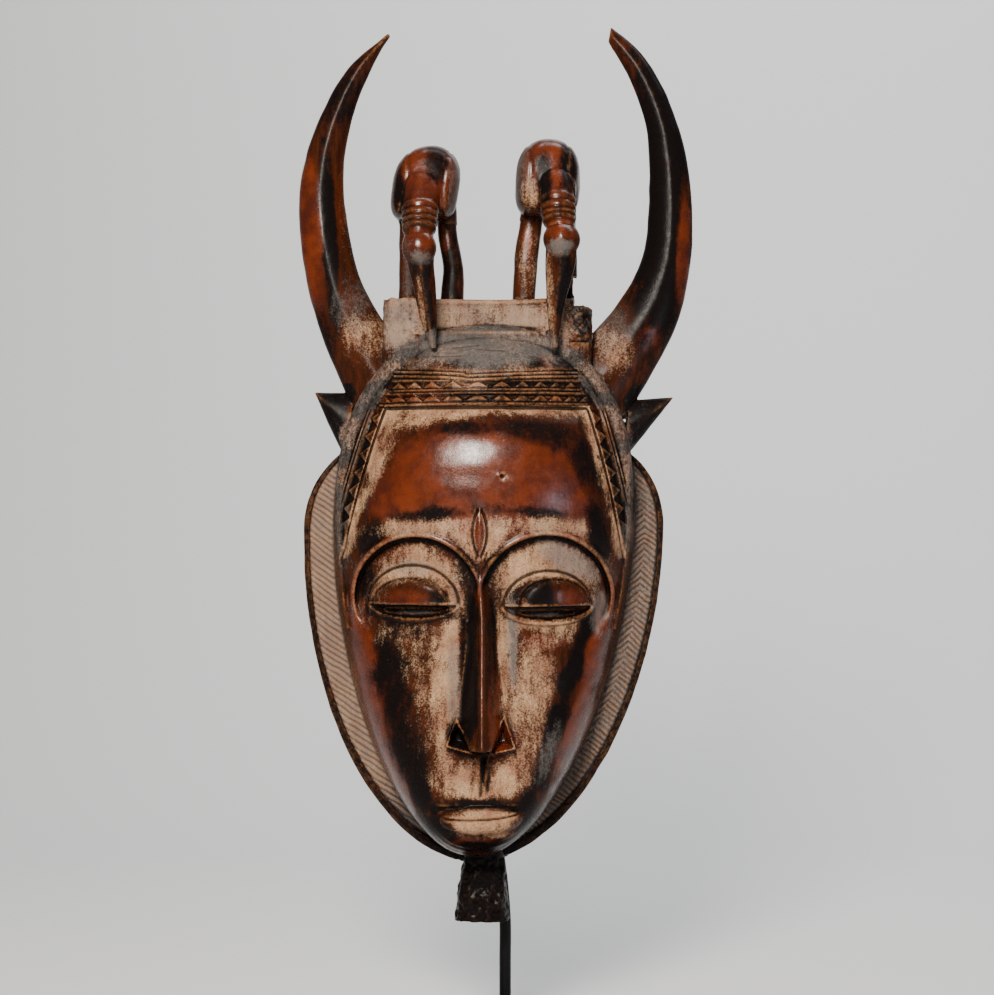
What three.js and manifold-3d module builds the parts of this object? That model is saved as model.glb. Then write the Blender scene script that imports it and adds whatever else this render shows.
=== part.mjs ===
// A yaure mask: a face with two horns and two hornbills on its head, carved from one block of wood.
// A painted steel rod on a plate foot carries it from inside the crown.
// Millimetres, +Z up, the face looks toward -Y. The origin is the middle of the foot's underside.
import * as THREE from 'three';
import { mergeVertices } from 'three/addons/utils/BufferGeometryUtils.js';
import Module from 'manifold-3d';

const { clamp, lerp, smoothstep } = THREE.MathUtils;
const wasm = await Module();
wasm.setup();

// The mask has a frame of its own: x from its midline, z up from just below the beard, and depth
// forward of its flat back. This places that frame over the foot.
const BACK_Y = 30;
const MASK_LIFT = 62;

// Steps from a middle to an edge, even or closer together toward the edge of a round form. The first
// ring stands a part of a step from the middle, and a round form's last one a little short of the edge.
const FIRST_RING = 0.45;
const LAST_RING = 0.1;
const ringSteps = (count, short) => Array.from({ length: count }, (_, k) => (
  (k + FIRST_RING) / (count - 1 + FIRST_RING + short)));
const evenSteps = (count) => ringSteps(count, 0);
const roundSteps = (count) => ringSteps(count, LAST_RING).map((t) => Math.sin((Math.PI / 2) * t));

// The egg outlines of the head and of the flange behind it, each widest at its level. Fullness is the
// power of the curve, so 2 is an ellipse.
const HEAD = { level: 205, half: 77.5, rise: 102, riseFullness: 2.4, drop: 168, dropFullness: 1.8 };
const FLANGE = { level: 200, half: 92, rise: 60, riseFullness: 2.4, drop: 168, dropFullness: 1.9 };
const FLANGE_PLATE = { thick: 8, points: 44 };
const LEAN = 0.025;

// The head's depth down its midline, between the chin and the top of the forehead.
const CHIN = { level: 58, fullness: 2.6, turn: 2.2 };
const CROWN_LEVEL = 264;
const PROFILE = [[58, 65], [80, 64], [105, 62], [135, 60.5], [160, 61.5], [180, 65.5], [205, 69.5],
  [225, 71], [245, 68.5], [264, 60]];

// Across the head the curve runs from a full one at the chin to a rounder one above the mouth.
const SECTION = { blend: [55, 150], fullness: [3.6, 2.1], turn: [2.6, 2.1] };

// A hollow behind leaves a wall of this thickness, and more where the features stand out.
const WALL = { side: 11, front: 17, end: 12 };

const HEAD_MESH = { spokes: 48, rings: 12 };
const HOLLOW_MESH = { spokes: 28, rings: 6 };

// Cutters end at one of these depths: behind the back, or well in front of the face. Raised features
// start inside the head.
const BEHIND = -6;
const INSIDE = 20;
const OUTSIDE = 110;

// The brows end above two oval sockets, deepest under the brow and running out onto the cheek.
const SOCKETS = [
  { x: -33.4, z: 168, halfX: 31.4, halfZ: 31.2, eyeX: -35.6, eyeZ: 165.5, lidX: 20.4, lidZ: 17.7 },
  { x: 31.3, z: 168, halfX: 32.6, halfZ: 32, eyeX: 32.5, eyeZ: 164.5, lidX: 21.4, lidZ: 16.4 },
];
const SOCKET = { depth: 7, runOut: 0.6, fade: [134, 172], spokes: 28, rings: 5 };

// A bulging upper lid ends in a straight edge over the slit, with a low rim below it. A lid's mesh is
// drawn round a point at a share of the way from the slit to its outer edge.
const LID_MIDDLE = 0.4;
const UPPER_LID = { bulge: 6.5, spokes: 20, steps: evenSteps(4) };
const LOWER_LID = { drop: 8.8, lift: 1.6, edgeLift: 0.4, past: 1.5, top: 0.5, spokes: 16,
  steps: evenSteps(2) };
const SLIT = { half: 21.6, height: 6.2, depth: 3.5, spokes: 20, steps: evenSteps(2) };
const EYE_HOLE = { half: 15, height: 3.4, drop: 3.1, spokes: 16 };
const STRAIGHT = 0.01;

// The nose is a long narrow roof, cut off flat below. Its stations are z, ridge depth and how steeply
// its sides fall.
const NOSE = { x: -0.6, crest: 1.2, foot: 40, stations: [[95.3, 84, 1.75], [104, 82, 1.8], [125, 77, 2.1],
  [150, 71, 2.5], [166, 67.5, 2.5], [182, 62, 2.2]] };

// A three-cornered wing on each side of the nose's tip, with the nostril sunk in it.
const NOSTRILS = [
  [[-17.8, 97.5], [-12.8, 111.5], [-5, 94]],
  [[14.8, 97], [10.4, 113], [3.6, 94]],
];
const NOSTRIL = { rim: 5.5, innerRim: 3.5, sunk: 1.5, border: 0.72, sides: 12, rings: 3 };

// Full lips stand out from the chin, parted by a line, below the short groove under the nose.
const LIPS = { x: -1.1, z: 60.8, halfX: 20.3, halfZ: 7.2, height: 4.6, fullness: 3, spokes: 24,
  steps: evenSteps(4) };
const PARTING = { rise: 1.2, half: 17, height: 1.1, depth: 2.6, spokes: 16, steps: evenSteps(2) };

// A raised lens-shaped scar stands above the nose.
const SCAR = { x: -1.75, z: 201, half: 11.5, width: 5.6, height: 3, edgeSunk: 1, keelSunk: 4, tip: 0.03,
  stations: 8 };

// The forehead lies behind a step: across under the bands, and down each side to the temples. Each
// station is the line's place and the way out of the panel.
const FRAME = { top: 263, half: 50.5, spread: 0.32, foot: 196, step: 2.6, runOut: 0.4, reach: 10, clear: 5,
  deepen: [-0.2, 0.5], sideCount: 7, acrossCount: 10 };

// Two rows of zigzag notches run across above the frame between cut lines, and one down each side. The
// corners of a side notch are given outward from the row's line and down.
const BANDS = { half: 52, lines: [278, 270.4, 264.6], lineWidth: 1.6, lineDepth: 0.9, lineSteps: 8,
  rows: [[272.4, 4], [265.6, 3.8]], notches: 10, notchDepth: 1.4, notchGap: 0.6 };
const SIDE_BAND = { notches: 7, pitch: 8, out: 6.5, taper: 0.5, corners: [[-3, 0], [-1.5, 7], [1.8, 3.5]] };
const PROUD = 1.5;

// A rounded roll edges the coiffure over the crown and down past the temples, and dies away there.
const BEAD = { share: 0.93, radius: 4.7, stations: 30, sides: 8, reach: 112, thinFrom: 0.5, end: 0.35 };

// A horn is drawn between its outer and inner edge lines, each from the tip down into the head.
const HORNS = [
  { outer: [[-48.8, 454.2], [-69.6, 435.9], [-85.4, 406.9], [-93.6, 376], [-93, 347], [-87.9, 318.4],
    [-78.3, 290], [-66, 262]],
  inner: [[-47.8, 453], [-55.4, 440], [-64.5, 418.6], [-70.1, 395.7], [-71.2, 376], [-68.6, 353],
    [-61.5, 327], [-40, 290]] },
  { outer: [[64.7, 457.8], [78.9, 445.6], [91.7, 425.8], [101.8, 397.3], [105.9, 368.8], [105.4, 340.3],
    [98, 306], [72, 258]],
  inner: [[63.2, 450.2], [73.3, 432.9], [82, 408.5], [84, 387], [83.5, 361.6], [80.5, 340.3],
    [68, 317], [42, 288]] },
];
const HORN = { stations: 15, sides: 10, thickBase: 25, thickTip: 4, depth: 14, power: 1.7,
  stationEase: 1.15, thickEase: 0.6 };

// A small leaf-shaped ear stands out behind the foot of each horn.
const EARS = [
  { tip: [-86.3, 272], top: [-66, 271.5], foot: [-70, 236] },
  { tip: [96.7, 269.5], top: [74, 268], foot: [70, 236] },
];
const EAR = { depth: 13, halfThick: 7, sides: 8, power: 1.6, shares: [0.05, 0.3, 0.6, 1] };

// The platform across the top of the head. Its front is hollowed, and its right end is chipped low.
const PLATFORM = { left: -50.5, right: 54.3, top: 318, foot: 282, back: 3, front: 36, scoop: 9,
  scoopHalf: 30, chipX: 45, chipTop: 313.6, cornerRound: 8, steps: 24 };

// The hornbills. Neck stations run from the chest through the head to the bill's tip, and a leg's run
// from the belly to the platform: x, depth, z, half width.
const BIRDS = [
  { body: { x: -28.8, z: 376.2, halfX: 16.9, halfZ: 18.9, shear: 0.08 },
    neck: [[-30, 36, 376, 9], [-31, 46, 366, 8.6], [-31.4, 49, 352, 8], [-31.7, 54, 341, 8.6],
      [-30.4, 54, 332, 7.4], [-28.7, 51, 320.6, 5.9], [-27, 48, 306, 3.8], [-25, 44.5, 292.5, 1.6]],
    legs: [[[-38, 17, 366, 5], [-38, 17, 340, 5], [-37.8, 17, 316, 5.4]],
      [[-18.6, 17, 366, 4.4], [-17, 17, 338, 5], [-16.3, 17, 316, 6]]] },
  { body: { x: 32.2, z: 379, halfX: 16.3, halfZ: 19.4, shear: 0.02 },
    neck: [[35, 36, 380, 8], [36.6, 46, 369, 7.4], [36.9, 49, 355, 7.4], [38.7, 54, 346, 8.8],
      [38, 54, 336, 8], [37, 52, 325.5, 6.4], [35.4, 49, 310.6, 4], [35, 44.5, 293, 1.8]],
    legs: [[[25, 17, 366, 5.6], [21.6, 17, 339, 6], [20.2, 17, 316, 5.7]],
      [[41.5, 17, 366, 5], [42.2, 17, 340, 5], [42.2, 17, 316, 5]]] },
];
// A body's stations run from the chest to the drooping tail: depth, drop, and shares of its half sizes.
const BIRD = { bodySides: 12, neckSides: 7, legSides: 6, legHalfDepth: 6, legPower: 2.4, roundBack: 2.3,
  squareBelly: 4.2,
  body: [[48, 3, 0.5, 0.5], [44, 1, 0.82, 0.84], [36, 0, 0.99, 0.99], [22, 0, 1, 1], [11, 4, 0.88, 0.8],
    [3.5, 9, 0.68, 0.52], [0.8, 13, 0.48, 0.3]] };

// The beard: a rough tab below the chin, wider at its foot. Its stations are z, left, right, half depth.
const BEARD = { depth: 14, sides: 12, power: 3,
  stations: [[44, -9, 9, 9], [36, -10.1, 10.3, 9], [31.5, -10.4, 10.6, 9.4], [29, -11.4, 10.8, 9.8],
    [23, -12, 11, 9.6], [20.5, -12.8, 11.3, 10.4], [12, -13.6, 11.8, 10.6], [4, -14.6, 12, 10.8]] };

// The stand: a rod that rises beside the beard, bends into the hollow and ends in a short crossbar.
const ROD = { radius: 3, sides: 10, steps: 24, bar: { x: 1, half: 14, depth: 17, z: 286.8, steps: 2 },
  route: [[10.9, -4, -57.7], [10.9, -4, -20], [10.9, -4, 0], [9.6, -4, 18], [6.8, -4, 40], [4.6, -4, 58],
    [2.6, 4, 80], [1.2, 14, 104], [1, 17, 140], [1, 17, 200], [1, 17, 284.8]] };
const FOOT = { width: 130, length: 100, thick: 10, edge: 1.2, edgeSteps: 2, boreDepth: 6, boreSides: 24,
  clearance: 0.3 };

// A smooth line through [place, value] pairs, level beyond its ends.
function smoothLine(pairs) {
  const slopes = pairs.map((pair, i) => {
    const before = pairs[Math.max(i - 1, 0)];
    const after = pairs[Math.min(i + 1, pairs.length - 1)];
    return (after[1] - before[1]) / (after[0] - before[0]);
  });
  return (place) => {
    const next = pairs.findIndex((pair) => pair[0] > place);
    if (next === 0) return pairs[0][1];
    if (next < 0) return pairs[pairs.length - 1][1];
    const [start, from] = pairs[next - 1];
    const [end, to] = pairs[next];
    const span = end - start;
    const t = (place - start) / span;
    const rest = 1 - t;
    return from * (1 + 2 * t) * rest * rest + to * t * t * (3 - 2 * t)
      + span * t * rest * (slopes[next - 1] * rest - slopes[next] * t);
  };
}

const profileDepth = smoothLine(PROFILE);

// The mask leans a little to one side toward the chin.
const midline = (z) => LEAN * (z - HEAD.level);

// A rounded end of a curve: 1 at its start and 0 at t = 1.
const roundOff = (t, fullness, turn) => Math.max(0, 1 - clamp(t, 0, 1) ** fullness) ** (1 / turn);

function eggHalfWidth(egg, z) {
  const above = z > egg.level;
  const fullness = above ? egg.riseFullness : egg.dropFullness;
  const t = above ? (z - egg.level) / egg.rise : (egg.level - z) / egg.drop;
  return egg.half * roundOff(t, fullness, fullness);
}

// A point of an egg outline at an angle from +X, at a share of its full size.
function eggPoint(egg, angle, share) {
  const cos = Math.cos(angle);
  const sin = Math.sin(angle);
  const power = 2 / (sin > 0 ? egg.riseFullness : egg.dropFullness);
  const z = egg.level + Math.sign(sin) * Math.abs(sin) ** power * share * (sin > 0 ? egg.rise : egg.drop);
  return [midline(z) + Math.sign(cos) * Math.abs(cos) ** power * share * egg.half, z];
}

// The plain head before its features are cut: full across the chin, rounder at the forehead.
function eggDepth(egg, x, z, inset) {
  let depth = profileDepth(z) - inset;
  if (z > CROWN_LEVEL) depth *= roundOff((z - CROWN_LEVEL) / (egg.level + egg.rise - CROWN_LEVEL), 2, 2);
  if (z < CHIN.level) {
    depth *= roundOff((CHIN.level - z) / (CHIN.level - egg.level + egg.drop), CHIN.fullness, CHIN.turn);
  }
  const across = Math.abs(x - midline(z)) / Math.max(eggHalfWidth(egg, z), 1e-6);
  const slim = smoothstep(z, ...SECTION.blend);
  return depth * roundOff(across, lerp(...SECTION.fullness, slim), lerp(...SECTION.turn, slim));
}

const headDepth = (x, z) => eggDepth(HEAD, x, z, 0);

// A closed solid from points and triangles. Unused points are dropped, and its faces point out.
function solidFrom(points, triangles) {
  const position = new Float32Array(triangles.flat().flatMap((id) => points[id].toArray()));
  const loose = new THREE.BufferGeometry();
  loose.setAttribute('position', new THREE.BufferAttribute(position, 3));
  return solidOf(loose);
}

function solidOf(geometry) {
  const bare = geometry.clone();
  bare.deleteAttribute('normal');
  bare.deleteAttribute('uv');
  const merged = mergeVertices(bare, 1e-4);
  const vertProperties = new Float32Array(merged.attributes.position.array);
  const kept = [];
  const index = merged.index.array;
  const corners = [new THREE.Vector3(), new THREE.Vector3(), new THREE.Vector3()];
  let volume = 0;
  for (let i = 0; i < index.length; i += 3) {
    const [a, b, c] = index.slice(i, i + 3);
    if (a !== b && b !== c && c !== a) {
      kept.push(a, b, c);
      corners.forEach((corner, k) => corner.fromArray(vertProperties, index[i + k] * 3));
      volume += corners[0].dot(corners[1].clone().cross(corners[2]));
    }
  }
  if (volume < 0) kept.reverse();
  return new wasm.Manifold(new wasm.Mesh({ numProp: 3, vertProperties, triVerts: new Uint32Array(kept) }));
}

const joined = (solids) => solids.reduce((whole, solid) => whole.add(solid));

// A skin over rings of equally many points, closed by a fan at each end.
function loft(rings) {
  const points = rings.flat();
  const count = rings[0].length;
  const triangles = [];
  for (let r = 0; r < rings.length - 1; r += 1) {
    for (let i = 0; i < count; i += 1) {
      const [a, b] = [r * count + i, r * count + ((i + 1) % count)];
      triangles.push([a, b, a + count], [b, b + count, a + count]);
    }
  }
  for (const [r, flip] of [[0, true], [rings.length - 1, false]]) {
    const hub = points.length;
    const centre = rings[r].reduce((sum, point) => sum.add(point), new THREE.Vector3());
    points.push(centre.divideScalar(count));
    for (let i = 0; i < count; i += 1) {
      const [a, b] = [r * count + i, r * count + ((i + 1) % count)];
      triangles.push(flip ? [b, a, hub] : [a, b, hub]);
    }
  }
  return solidFrom(points, triangles);
}

// A ring of points around a centre, between two half axes. Power 2 is an ellipse, 1 a diamond, and a
// high one nearly a box. The far half, against halfB, may have a power of its own.
function ovalRing(centre, halfA, halfB, count, power, farPower = power) {
  return Array.from({ length: count }, (_, i) => {
    const angle = (2 * Math.PI * i) / count;
    const [cos, sin] = [Math.cos(angle), Math.sin(angle)];
    const bend = 2 / (sin < 0 ? farPower : power);
    return centre.clone()
      .addScaledVector(halfA, Math.sign(cos) * Math.abs(cos) ** bend)
      .addScaledVector(halfB, Math.sign(sin) * Math.abs(sin) ** bend);
  });
}

// A column that stands on an outline in the plane of the face, from an end that follows a form to a
// flat one. outline(angle) gives [x, z], and endDepth takes x, z and the share of the way out, whose
// steps are given from the middle to the edge.
function column({ centre, outline, spokes, steps }, endDepth, flatDepth) {
  const ringAt = (share, depthOf) => Array.from({ length: spokes }, (_, i) => {
    const [edgeX, edgeZ] = outline((2 * Math.PI * i) / spokes);
    const [x, z] = [lerp(centre[0], edgeX, share), lerp(centre[1], edgeZ, share)];
    return new THREE.Vector3(x, -depthOf(x, z, share), z);
  });
  return loft([...steps.map((share) => ringAt(share, endDepth)), ringAt(1, () => flatDepth)]);
}

function eggSolid(egg, depthAt, { spokes, rings }, backDepth) {
  return column({ centre: [0, egg.level], outline: (angle) => eggPoint(egg, angle, 1), spokes,
    steps: roundSteps(rings) }, depthAt, backDepth);
}

// The flange: a flat ring behind the face. It starts under the ears and runs around the chin.
function flange() {
  const { thick, points } = FLANGE_PLATE;
  const outline = Array.from({ length: points }, (_, i) => {
    const [x, z] = eggPoint(FLANGE, (2 * Math.PI * i) / points, 1);
    return new THREE.Vector2(x, z);
  });
  const plate = new THREE.ExtrudeGeometry(new THREE.Shape(outline), { depth: thick, bevelEnabled: false });
  plate.rotateX(Math.PI / 2);
  return solidOf(plate);
}

function hollow() {
  const egg = { ...HEAD, half: HEAD.half - WALL.side, rise: HEAD.rise - WALL.end,
    drop: HEAD.drop - WALL.end };
  return eggSolid(egg, (x, z) => eggDepth(egg, x, z, WALL.front), HOLLOW_MESH, BEHIND);
}

const ellipse = (x, z, halfX, halfZ) => (angle) => [x + halfX * Math.cos(angle), z + halfZ * Math.sin(angle)];

// An outline with one ellipse above its level and a flatter or fuller one below it.
const twoEllipses = (x, z, halfX, up, down) => (angle) => {
  const sin = Math.sin(angle);
  return [x + halfX * Math.cos(angle), z + sin * (sin > 0 ? up : down)];
};

// A socket's floor is deepest under its brow and comes up to the cheek below.
function socketFloor(x, z) {
  const deep = smoothstep(z, ...SOCKET.fade);
  return headDepth(x, z) + lerp(SOCKET.runOut, -SOCKET.depth, deep);
}

function socketCut({ x, z, halfX, halfZ }) {
  return column({ centre: [x, z], outline: ellipse(x, z, halfX, halfZ), spokes: SOCKET.spokes,
    steps: evenSteps(SOCKET.rings) }, socketFloor, OUTSIDE);
}

// An upper lid swells over the ball of the eye, and a low rim runs under the slit.
function lids({ eyeX, eyeZ, lidX, lidZ }) {
  const bulge = (x, z) => socketFloor(x, z)
    + UPPER_LID.bulge * Math.sqrt(Math.max(0, 1 - ((x - eyeX) / lidX) ** 2 - ((z - eyeZ) / lidZ) ** 2));
  const upper = column({ ...UPPER_LID, centre: [eyeX, eyeZ + lidZ * LID_MIDDLE],
    outline: twoEllipses(eyeX, eyeZ, lidX, lidZ, STRAIGHT) }, bulge, INSIDE);
  const rim = (x, z, share) => socketFloor(x, z) + (share < 1 ? LOWER_LID.lift : LOWER_LID.edgeLift);
  const lower = column({ ...LOWER_LID, centre: [eyeX, eyeZ - LOWER_LID.drop * LID_MIDDLE],
    outline: twoEllipses(eyeX, eyeZ, SLIT.half + LOWER_LID.past, LOWER_LID.top, LOWER_LID.drop) }, rim,
  INSIDE);
  return [lower, upper];
}

// The slit between the lids, and the narrow slot behind it that pierces the wall.
function eyeCuts({ eyeX, eyeZ }) {
  const slit = column({ ...SLIT, centre: [eyeX, eyeZ - SLIT.height / 2],
    outline: twoEllipses(eyeX, eyeZ, SLIT.half, STRAIGHT, SLIT.height) },
  (x, z) => socketFloor(x, z) - SLIT.depth, OUTSIDE);
  const holeZ = eyeZ - EYE_HOLE.drop;
  const hole = column({ centre: [eyeX, holeZ], spokes: EYE_HOLE.spokes, steps: [1],
    outline: ellipse(eyeX, holeZ, EYE_HOLE.half, EYE_HOLE.height / 2) }, () => BEHIND, OUTSIDE);
  return [slit, hole];
}

// The nose is a roof on a deep foot inside the head.
function nose() {
  return loft(NOSE.stations.map(([z, ridge, fall]) => {
    const foot = (ridge - NOSE.foot) / fall;
    const shoulder = ridge - NOSE.crest;
    return [[-foot, NOSE.foot], [-NOSE.crest, shoulder], [0, ridge], [NOSE.crest, shoulder],
      [foot, NOSE.foot]].map(([x, depth]) => new THREE.Vector3(NOSE.x + x, -depth, z));
  }));
}

// A nostril wing: its border stands proud and its middle is sunk.
function noseWing(corners) {
  const centre = [0, 1].map((axis) => corners.reduce((sum, corner) => sum + corner[axis], 0) / 3);
  const outline = (angle) => {
    const turn = (angle / (2 * Math.PI)) * 3;
    const [from, to] = [corners[Math.floor(turn) % 3], corners[(Math.floor(turn) + 1) % 3]];
    return [lerp(from[0], to[0], turn % 1), lerp(from[1], to[1], turn % 1)];
  };
  const depthOf = (x, z, share) => headDepth(x, z)
    + (share > NOSTRIL.border ? NOSTRIL.rim : lerp(-NOSTRIL.sunk, NOSTRIL.innerRim, share / NOSTRIL.border));
  return column({ centre, outline, spokes: NOSTRIL.sides, steps: evenSteps(NOSTRIL.rings) }, depthOf, INSIDE);
}

const lipDepth = (x, z) => {
  const reach = Math.hypot((x - LIPS.x) / LIPS.halfX, (z - LIPS.z) / LIPS.halfZ);
  return headDepth(x, z) + LIPS.height * roundOff(reach, LIPS.fullness, 2);
};

function lips() {
  const { x, z, halfX, halfZ } = LIPS;
  return column({ ...LIPS, centre: [x, z], outline: ellipse(x, z, halfX, halfZ) }, lipDepth, INSIDE);
}

function mouthCut() {
  const [x, z] = [LIPS.x, LIPS.z + PARTING.rise];
  return column({ ...PARTING, centre: [x, z], outline: ellipse(x, z, PARTING.half, PARTING.height) },
    (lineX, lineZ) => lipDepth(lineX, lineZ) - PARTING.depth, OUTSIDE);
}

function scar() {
  return loft(Array.from({ length: SCAR.stations + 1 }, (_, k) => {
    const along = (2 * k) / SCAR.stations - 1;
    const z = SCAR.z + along * SCAR.half;
    const swell = Math.max(1 - along * along, SCAR.tip);
    const half = (SCAR.width / 2) * swell;
    const section = [[-half, -SCAR.edgeSunk], [0, SCAR.height * swell], [half, -SCAR.edgeSunk],
      [0, -SCAR.keelSunk]];
    return section.map(([x, lift]) => new THREE.Vector3(SCAR.x + x, -(headDepth(SCAR.x + x, z) + lift), z));
  }));
}

function frameStations() {
  const { sideCount, acrossCount } = FRAME;
  const side = (sign) => Array.from({ length: sideCount }, (_, i) => {
    const z = lerp(FRAME.foot, FRAME.top, i / sideCount);
    const x = midline(z) + sign * (FRAME.half + FRAME.spread * (FRAME.top - z));
    return { x, z, outX: sign, outZ: 0, share: smoothstep(i / sideCount, ...FRAME.deepen) };
  });
  const across = Array.from({ length: acrossCount + 1 }, (_, i) => {
    const along = (2 * i) / acrossCount - 1;
    const corner = Math.abs(along) === 1;
    return { x: midline(FRAME.top) + along * FRAME.half, z: FRAME.top, outX: corner ? along : 0, outZ: 1,
      share: 1 };
  });
  return [...side(-1), ...across, ...side(1).reverse()];
}

// The step round the forehead runs out into the panel it encloses.
function frameCut() {
  return loft(frameStations().map(({ x, z, outX, outZ, share }) => {
    const [inX, inZ] = [x - outX * FRAME.reach, z - outZ * FRAME.reach];
    const [line, inner] = [headDepth(x, z), headDepth(inX, inZ)];
    return [[x, z, line - FRAME.step * share], [x, z, line + FRAME.clear], [inX, inZ, inner + FRAME.clear],
      [inX, inZ, inner + FRAME.runOut]].map(([px, pz, depth]) => new THREE.Vector3(px, -depth, pz));
  }));
}

// Each band line is a groove with a sharp bottom.
function bandLines() {
  return BANDS.lines.map((z) => loft(Array.from({ length: BANDS.lineSteps + 1 }, (_, i) => {
    const x = lerp(-BANDS.half, BANDS.half, i / BANDS.lineSteps) + midline(z);
    return [[-BANDS.lineWidth, PROUD], [BANDS.lineWidth, PROUD], [0, -BANDS.lineDepth]].map(
      ([up, lift]) => new THREE.Vector3(x, -(headDepth(x, z + up) + lift), z + up));
  })));
}

// A notch is a three-sided pit: three corners just proud of the surface, and its point below it.
function notch(corners) {
  const middle = [0, 1].map((axis) => corners.reduce((sum, corner) => sum + corner[axis], 0) / 3);
  const points = [...corners.map(([x, z]) => new THREE.Vector3(x, -(headDepth(x, z) + PROUD), z)),
    new THREE.Vector3(middle[0], -(headDepth(...middle) - BANDS.notchDepth), middle[1])];
  return solidFrom(points, [[0, 1, 2], [0, 3, 1], [1, 3, 2], [2, 3, 0]]);
}

function zigzags() {
  const pitch = (2 * BANDS.half) / BANDS.notches;
  const across = BANDS.rows.flatMap(([z, height]) => Array.from({ length: BANDS.notches }, (_, i) => {
    const x = midline(z) - BANDS.half + pitch * i;
    return notch([[x + BANDS.notchGap, z], [x + pitch - BANDS.notchGap, z], [x + pitch / 2, z + height]]);
  }));
  const down = [-1, 1].flatMap((sign) => Array.from({ length: SIDE_BAND.notches }, (_, i) => {
    const z = FRAME.top - (i + 1) * SIDE_BAND.pitch;
    const out = FRAME.half + FRAME.spread * (FRAME.top - z) + SIDE_BAND.out - i * SIDE_BAND.taper;
    return notch(SIDE_BAND.corners.map(([more, fall]) => [midline(z) + sign * (out + more), z - fall]));
  }));
  return [...across, ...down];
}

// The roll is a bead that follows the egg outline over the crown.
function bead() {
  return loft(Array.from({ length: BEAD.stations + 1 }, (_, k) => {
    const along = (2 * k) / BEAD.stations - 1;
    const angle = THREE.MathUtils.degToRad(90 + along * BEAD.reach);
    const [x, z] = eggPoint(HEAD, angle, BEAD.share);
    const radius = BEAD.radius * lerp(1, BEAD.end, smoothstep(Math.abs(along), BEAD.thinFrom, 1));
    const out = new THREE.Vector3(Math.cos(angle), 0, Math.sin(angle)).multiplyScalar(radius);
    return ovalRing(new THREE.Vector3(x, -headDepth(x, z), z), out, new THREE.Vector3(0, -radius, 0),
      BEAD.sides, 2);
  }));
}

function horn({ outer, inner }) {
  const line = (pairs) => new THREE.CatmullRomCurve3(
    pairs.map(([x, z]) => new THREE.Vector3(x, 0, z)), false, 'centripetal');
  const [outside, inside] = [line(outer), line(inner)];
  const rings = Array.from({ length: HORN.stations + 1 }, (_, k) => {
    const t = (k / HORN.stations) ** HORN.stationEase;
    const [out, into] = [outside.getPointAt(t), inside.getPointAt(t)];
    const centre = out.clone().add(into).multiplyScalar(0.5).setY(-HORN.depth);
    const half = out.sub(into).multiplyScalar(0.5);
    const thick = lerp(HORN.thickTip, HORN.thickBase, t ** HORN.thickEase) / 2;
    return ovalRing(centre, half, new THREE.Vector3(0, -thick, 0), HORN.sides, HORN.power);
  });
  return loft(rings);
}

function ear({ tip, top, foot }) {
  const ring = (share) => {
    const high = new THREE.Vector3(lerp(tip[0], top[0], share), -EAR.depth, lerp(tip[1], top[1], share));
    const low = new THREE.Vector3(lerp(tip[0], foot[0], share), -EAR.depth, lerp(tip[1], foot[1], share));
    const centre = high.clone().add(low).multiplyScalar(0.5);
    const thick = EAR.halfThick * Math.sqrt(share);
    return ovalRing(centre, high.sub(low).multiplyScalar(0.5), new THREE.Vector3(0, -thick, 0), EAR.sides,
      EAR.power);
  };
  return loft(EAR.shares.map(ring));
}

function platform() {
  const front = Array.from({ length: PLATFORM.steps + 1 }, (_, i) => {
    const x = lerp(PLATFORM.left, PLATFORM.right, i / PLATFORM.steps);
    const scoop = PLATFORM.scoop * Math.max(0, 1 - (x / PLATFORM.scoopHalf) ** 2);
    const toEnd = Math.min(x - PLATFORM.left, PLATFORM.right - x) / PLATFORM.cornerRound;
    const corner = PLATFORM.cornerRound * (1 - Math.sqrt(1 - clamp(1 - toEnd, 0, 1) ** 2));
    return new THREE.Vector2(x, -(PLATFORM.front - scoop - corner));
  });
  const outline = [...front, new THREE.Vector2(PLATFORM.right, -PLATFORM.back),
    new THREE.Vector2(PLATFORM.left, -PLATFORM.back)];
  const board = new THREE.ExtrudeGeometry(new THREE.Shape(outline), {
    depth: PLATFORM.top - PLATFORM.foot, bevelEnabled: false });
  board.translate(0, 0, PLATFORM.foot);
  const chip = new THREE.BoxGeometry(2 * (PLATFORM.right - PLATFORM.chipX), 2 * PLATFORM.front,
    2 * (PLATFORM.top - PLATFORM.chipTop));
  chip.translate(PLATFORM.right, -PLATFORM.front / 2, PLATFORM.top);
  return solidOf(board).subtract(solidOf(chip));
}

// A hornbill: its body, its neck, head and bill in one bent cone, and its two legs.
function bird({ body, neck, legs }) {
  const wide = (half) => new THREE.Vector3(half, 0, 0);
  const bodyRings = BIRD.body.map(([depth, drop, shareX, shareZ]) => ovalRing(
    new THREE.Vector3(body.x, -depth, body.z - drop), wide(body.halfX * shareX),
    new THREE.Vector3(body.shear * body.halfZ * shareZ, 0, body.halfZ * shareZ), BIRD.bodySides,
    BIRD.roundBack, BIRD.squareBelly));
  const neckRings = neck.map(([x, depth, z, half], k) => {
    const before = neck[Math.max(k - 1, 0)];
    const after = neck[Math.min(k + 1, neck.length - 1)];
    const along = new THREE.Vector3(0, before[1] - after[1], after[2] - before[2]).normalize();
    const across = along.cross(new THREE.Vector3(1, 0, 0)).multiplyScalar(half);
    return ovalRing(new THREE.Vector3(x, -depth, z), wide(half), across, BIRD.neckSides, 2);
  });
  const legSolids = legs.map((stations) => loft(stations.map(([x, depth, z, half]) => ovalRing(
    new THREE.Vector3(x, -depth, z), wide(half), new THREE.Vector3(0, BIRD.legHalfDepth, 0),
    BIRD.legSides, BIRD.legPower))));
  return joined([loft(bodyRings), loft(neckRings), ...legSolids]);
}

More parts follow.
